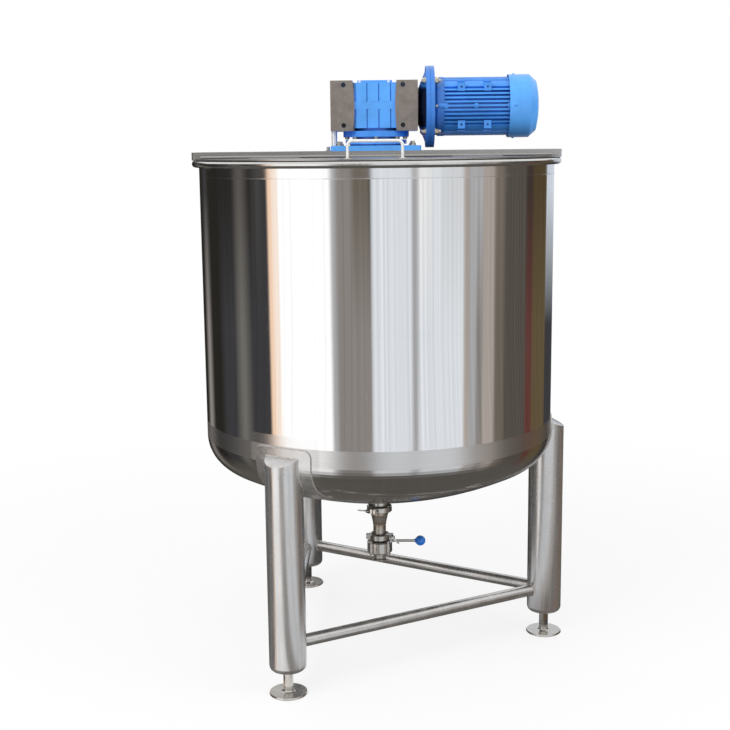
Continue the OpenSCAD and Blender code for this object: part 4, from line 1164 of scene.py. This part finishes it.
class TANK_OT_stage(PieceOperator):
    """Set up the floor, the reflection cards, the lights and the camera"""
    bl_idname = "tank.stage"
    bl_label = "Studio"

    def make(self, scene):
        stage = scene.tank_stage
        self.floor(stage)
        self.cards()
        self.world(scene, stage)
        self.lamp("key_light", (-2.6, -3.0, 4.2), 2.6, stage.key)
        self.lamp("fill_light", (3.4, -2.2, 3.0), 2.4, stage.fill)
        self.camera(scene, stage)

    def floor(self, stage):
        """A round floor whose outer part gives way to plain white, so that it has no visible edge."""
        bm = bmesh.new()
        bmesh.ops.create_circle(bm, cap_ends=True, segments=96, radius=3.4)
        bmesh.ops.translate(bm, verts=bm.verts, vec=(0, 0, -0.0005))
        mesh = mesh_from(bm, "floor")
        floor = bpy.data.objects.new("floor", mesh)
        bpy.context.scene.collection.objects.link(floor)
        made = Finish("floor", stage.floor, 0.0, 0.7)
        tree = made.tree
        grain = made.grain((30, 30, 30), 3.0)
        made.set("Roughness", ranged(tree, grain, 0.3, 0.7, 0.62, 0.78))
        made.set("Specular IOR Level", 0.2)
        _, radius = made.polar()
        path = add(tree, "ShaderNodeLightPath")
        seen = sums(tree, "MAXIMUM", path.outputs["Is Camera Ray"],
                    sums(tree, "MAXIMUM", path.outputs["Is Glossy Ray"], path.outputs["Is Transmission Ray"]))
        white = add(tree, "ShaderNodeEmission", {"Color": (1, 1, 1, 1), "Strength": 1.0}).outputs[0]
        share_out = sums(tree, "MULTIPLY", seen, ranged(tree, radius, 0.9, 3.2, 0.8, 1.0, True))
        mixed = add(tree, "ShaderNodeMixShader", {0: share_out, 1: made.shader.outputs[0], 2: white})
        tree.links.new(mixed.outputs[0], tree.nodes["Material Output"].inputs["Surface"])
        mesh.materials.append(made.material)

    def cards(self):
        """Studio cards that only reflections see: a ring of upright strips that run in over the floor.
        Each row is turned so that a strip shows as one straight upright band in the polished shell."""
        rows = [(0.56, FLOOR_GAP), (0.9, FLOOR_GAP), (1.5, FLOOR_GAP), (2.6, FLOOR_GAP), (4.2, FLOOR_GAP),
                (7.0, FLOOR_GAP), (7.5, 1.1), (8.0, 3.4)]
        step = 1.0
        turns = [i * step - 180 for i in range(int(360 / step))]
        verts, tones = [(0, 0, FLOOR_GAP)], [card_tone(0, 0.0)]
        for radius, height in rows:
            for turn in turns:
                verts.append((*reflected_point(math.radians(turn), radius), height))
                tones.append(card_tone(turn, 1.0 if height > 1 else 0.0))
        count, faces = len(turns), []
        for k in range(count):
            n = (k + 1) % count
            faces.append((0, 1 + n, 1 + k))
            for row in range(len(rows) - 1):
                a, b = 1 + row * count, 1 + (row + 1) * count
                faces.append((a + k, a + n, b + n, b + k))
        mesh = bpy.data.meshes.new("reflection_cards")
        mesh.from_pydata(verts, [], faces)
        shade = mesh.attributes.new("tone", "FLOAT_COLOR", "POINT")
        shade.data.foreach_set("color", [c for tone in tones for c in (*tone, 1.0)])
        cards = bpy.data.objects.new("reflection_cards", mesh)
        bpy.context.scene.collection.objects.link(cards)
        material = bpy.data.materials.new("reflection_cards")
        material.use_nodes = True
        tree = material.node_tree
        tree.nodes.clear()
        tone = add(tree, "ShaderNodeVertexColor", layer_name="tone").outputs[0]
        place = add(tree, "ShaderNodeSeparateXYZ", {0: add(tree, "ShaderNodeTexCoord").outputs["Object"]})
        turn = sums(tree, "ARCTAN2", place.outputs[0], place.outputs[1])
        streaks = add(tree, "ShaderNodeTexNoise", {"W": turn, "Scale": 26.0, "Detail": 3.0, "Roughness": 0.7},
                      noise_dimensions="1D").outputs[0]
        fine = add(tree, "ShaderNodeTexNoise", {"W": turn, "Scale": 64.0, "Detail": 2.0, "Roughness": 0.8},
                   noise_dimensions="1D").outputs[0]
        right = sums(tree, "MULTIPLY", ranged(tree, turn, -0.06, 0.0, 0.0, 1.0), ranged(tree, turn, 1.4, 1.9, 1.0, 0.3))
        lines = sums(tree, "MULTIPLY", ranged(tree, fine, 0.34, 0.62, -0.26, 0.12), right)
        uneven = sums(tree, "ADD", ranged(tree, streaks, 0.3, 0.7, 0.84, 1.08), lines)
        facing = add(tree, "ShaderNodeLayerWeight", {"Blend": 0.5}).outputs["Facing"]
        low = ranged(tree, place.outputs[2], 2 * FLOOR_GAP, 4 * FLOOR_GAP, 0.0, 1.0)
        shallow = sums(tree, "MAXIMUM", low, ranged(tree, facing, 0.36, 0.68, 0.0, 1.0, True))
        glow = blend(tree, shallow, bpy.context.scene.tank_stage.under, tone)
        shine = add(tree, "ShaderNodeEmission", {"Color": glow, "Strength": uneven}).outputs[0]
        add(tree, "ShaderNodeOutputMaterial", {"Surface": shine})
        mesh.materials.append(material)
        for ray in ("camera", "diffuse", "transmission", "volume_scatter", "shadow"):
            setattr(cards, "visible_" + ray, False)

    def world(self, scene, stage):
        """Even light for the surfaces and plain white for what looks past the object."""
        world = bpy.data.worlds.new("studio")
        scene.world = world
        world.use_nodes = True
        tree = world.node_tree
        tree.nodes.clear()
        path = add(tree, "ShaderNodeLightPath")
        seen = sums(tree, "MAXIMUM", path.outputs["Is Camera Ray"],
                    sums(tree, "MAXIMUM", path.outputs["Is Glossy Ray"], path.outputs["Is Transmission Ray"]))
        level = ranged(tree, seen, 0.0, 1.0, stage.world, 1.0)
        sky = add(tree, "ShaderNodeBackground", {"Color": (1, 1, 1, 1), "Strength": level})
        add(tree, "ShaderNodeOutputWorld", {"Surface": sky.outputs[0]})

    def lamp(self, name, at, width, power):
        light = bpy.data.lights.new(name, "AREA")
        light.shape, light.size, light.energy = "SQUARE", width, power
        lamp = bpy.data.objects.new(name, light)
        lamp.location = at
        lamp.visible_glossy = False
        lamp.rotation_euler = (Vector((0, 0, 1.1)) - Vector(at)).to_track_quat("-Z", "Y").to_euler()
        bpy.context.scene.collection.objects.link(lamp)

    def camera(self, scene, stage):
        """The camera at the photograph's viewing angle: its place, its tilt, its turn and its roll."""
        pitch, yaw, roll = math.radians(10.0), math.radians(-0.99), math.radians(-0.61)
        forward = Vector((math.sin(yaw) * math.cos(pitch), math.cos(yaw) * math.cos(pitch), -math.sin(pitch)))
        level = Vector((math.cos(yaw), -math.sin(yaw), 0))
        upward = level.cross(forward)
        right = math.cos(roll) * level + math.sin(roll) * upward
        up = -math.sin(roll) * level + math.cos(roll) * upward
        data = bpy.data.cameras.new("camera")
        data.sensor_width, data.lens = 36.0, stage.lens
        data.clip_end = 60.0
        camera = bpy.data.objects.new("camera", data)
        turn = Matrix((right, up, -forward)).transposed()
        camera.matrix_world = Matrix.Translation(EYE) @ turn.to_4x4()
        scene.collection.objects.link(camera)
        scene.camera = camera
        scene.view_settings.view_transform = "Standard"


OPERATORS = (TANK_OT_vessel, TANK_OT_legs, TANK_OT_bridge, TANK_OT_outlet, TANK_OT_gear, TANK_OT_motor,
             TANK_OT_agitator, TANK_OT_fasteners, TANK_OT_motor_details, TANK_OT_outlet_details, TANK_OT_welds,
             TANK_OT_stage)


class TANK_PT_dress(bpy.types.Panel):
    """Lists the operators and their settings"""
    bl_idname = "TANK_PT_dress"
    bl_label = "Mixing tank"
    bl_space_type = "VIEW_3D"
    bl_region_type = "UI"
    bl_category = "Tank"

    def draw(self, context):
        for operator in OPERATORS:
            self.layout.operator(operator.bl_idname)
        for key, group in SETTINGS.items():
            box = self.layout.box()
            for name in group.__annotations__:
                box.prop(getattr(context.scene, key), name)


def register():
    for key, group in SETTINGS.items():
        bpy.utils.register_class(group)
        setattr(bpy.types.Scene, key, PointerProperty(type=group))
    for operator in OPERATORS:
        bpy.utils.register_class(operator)
    bpy.utils.register_class(TANK_PT_dress)


def unregister():
    bpy.utils.unregister_class(TANK_PT_dress)
    for operator in reversed(OPERATORS):
        bpy.utils.unregister_class(operator)
    for key, group in SETTINGS.items():
        delattr(bpy.types.Scene, key)
        bpy.utils.unregister_class(group)


def main():
    """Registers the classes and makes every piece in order."""
    register()
    for operator in OPERATORS:
        group, name = operator.bl_idname.split(".")
        if getattr(getattr(bpy.ops, group), name)() != {"FINISHED"}:
            raise RuntimeError(f"{operator.bl_label} did not finish")


if __name__ == "__main__":
    main()
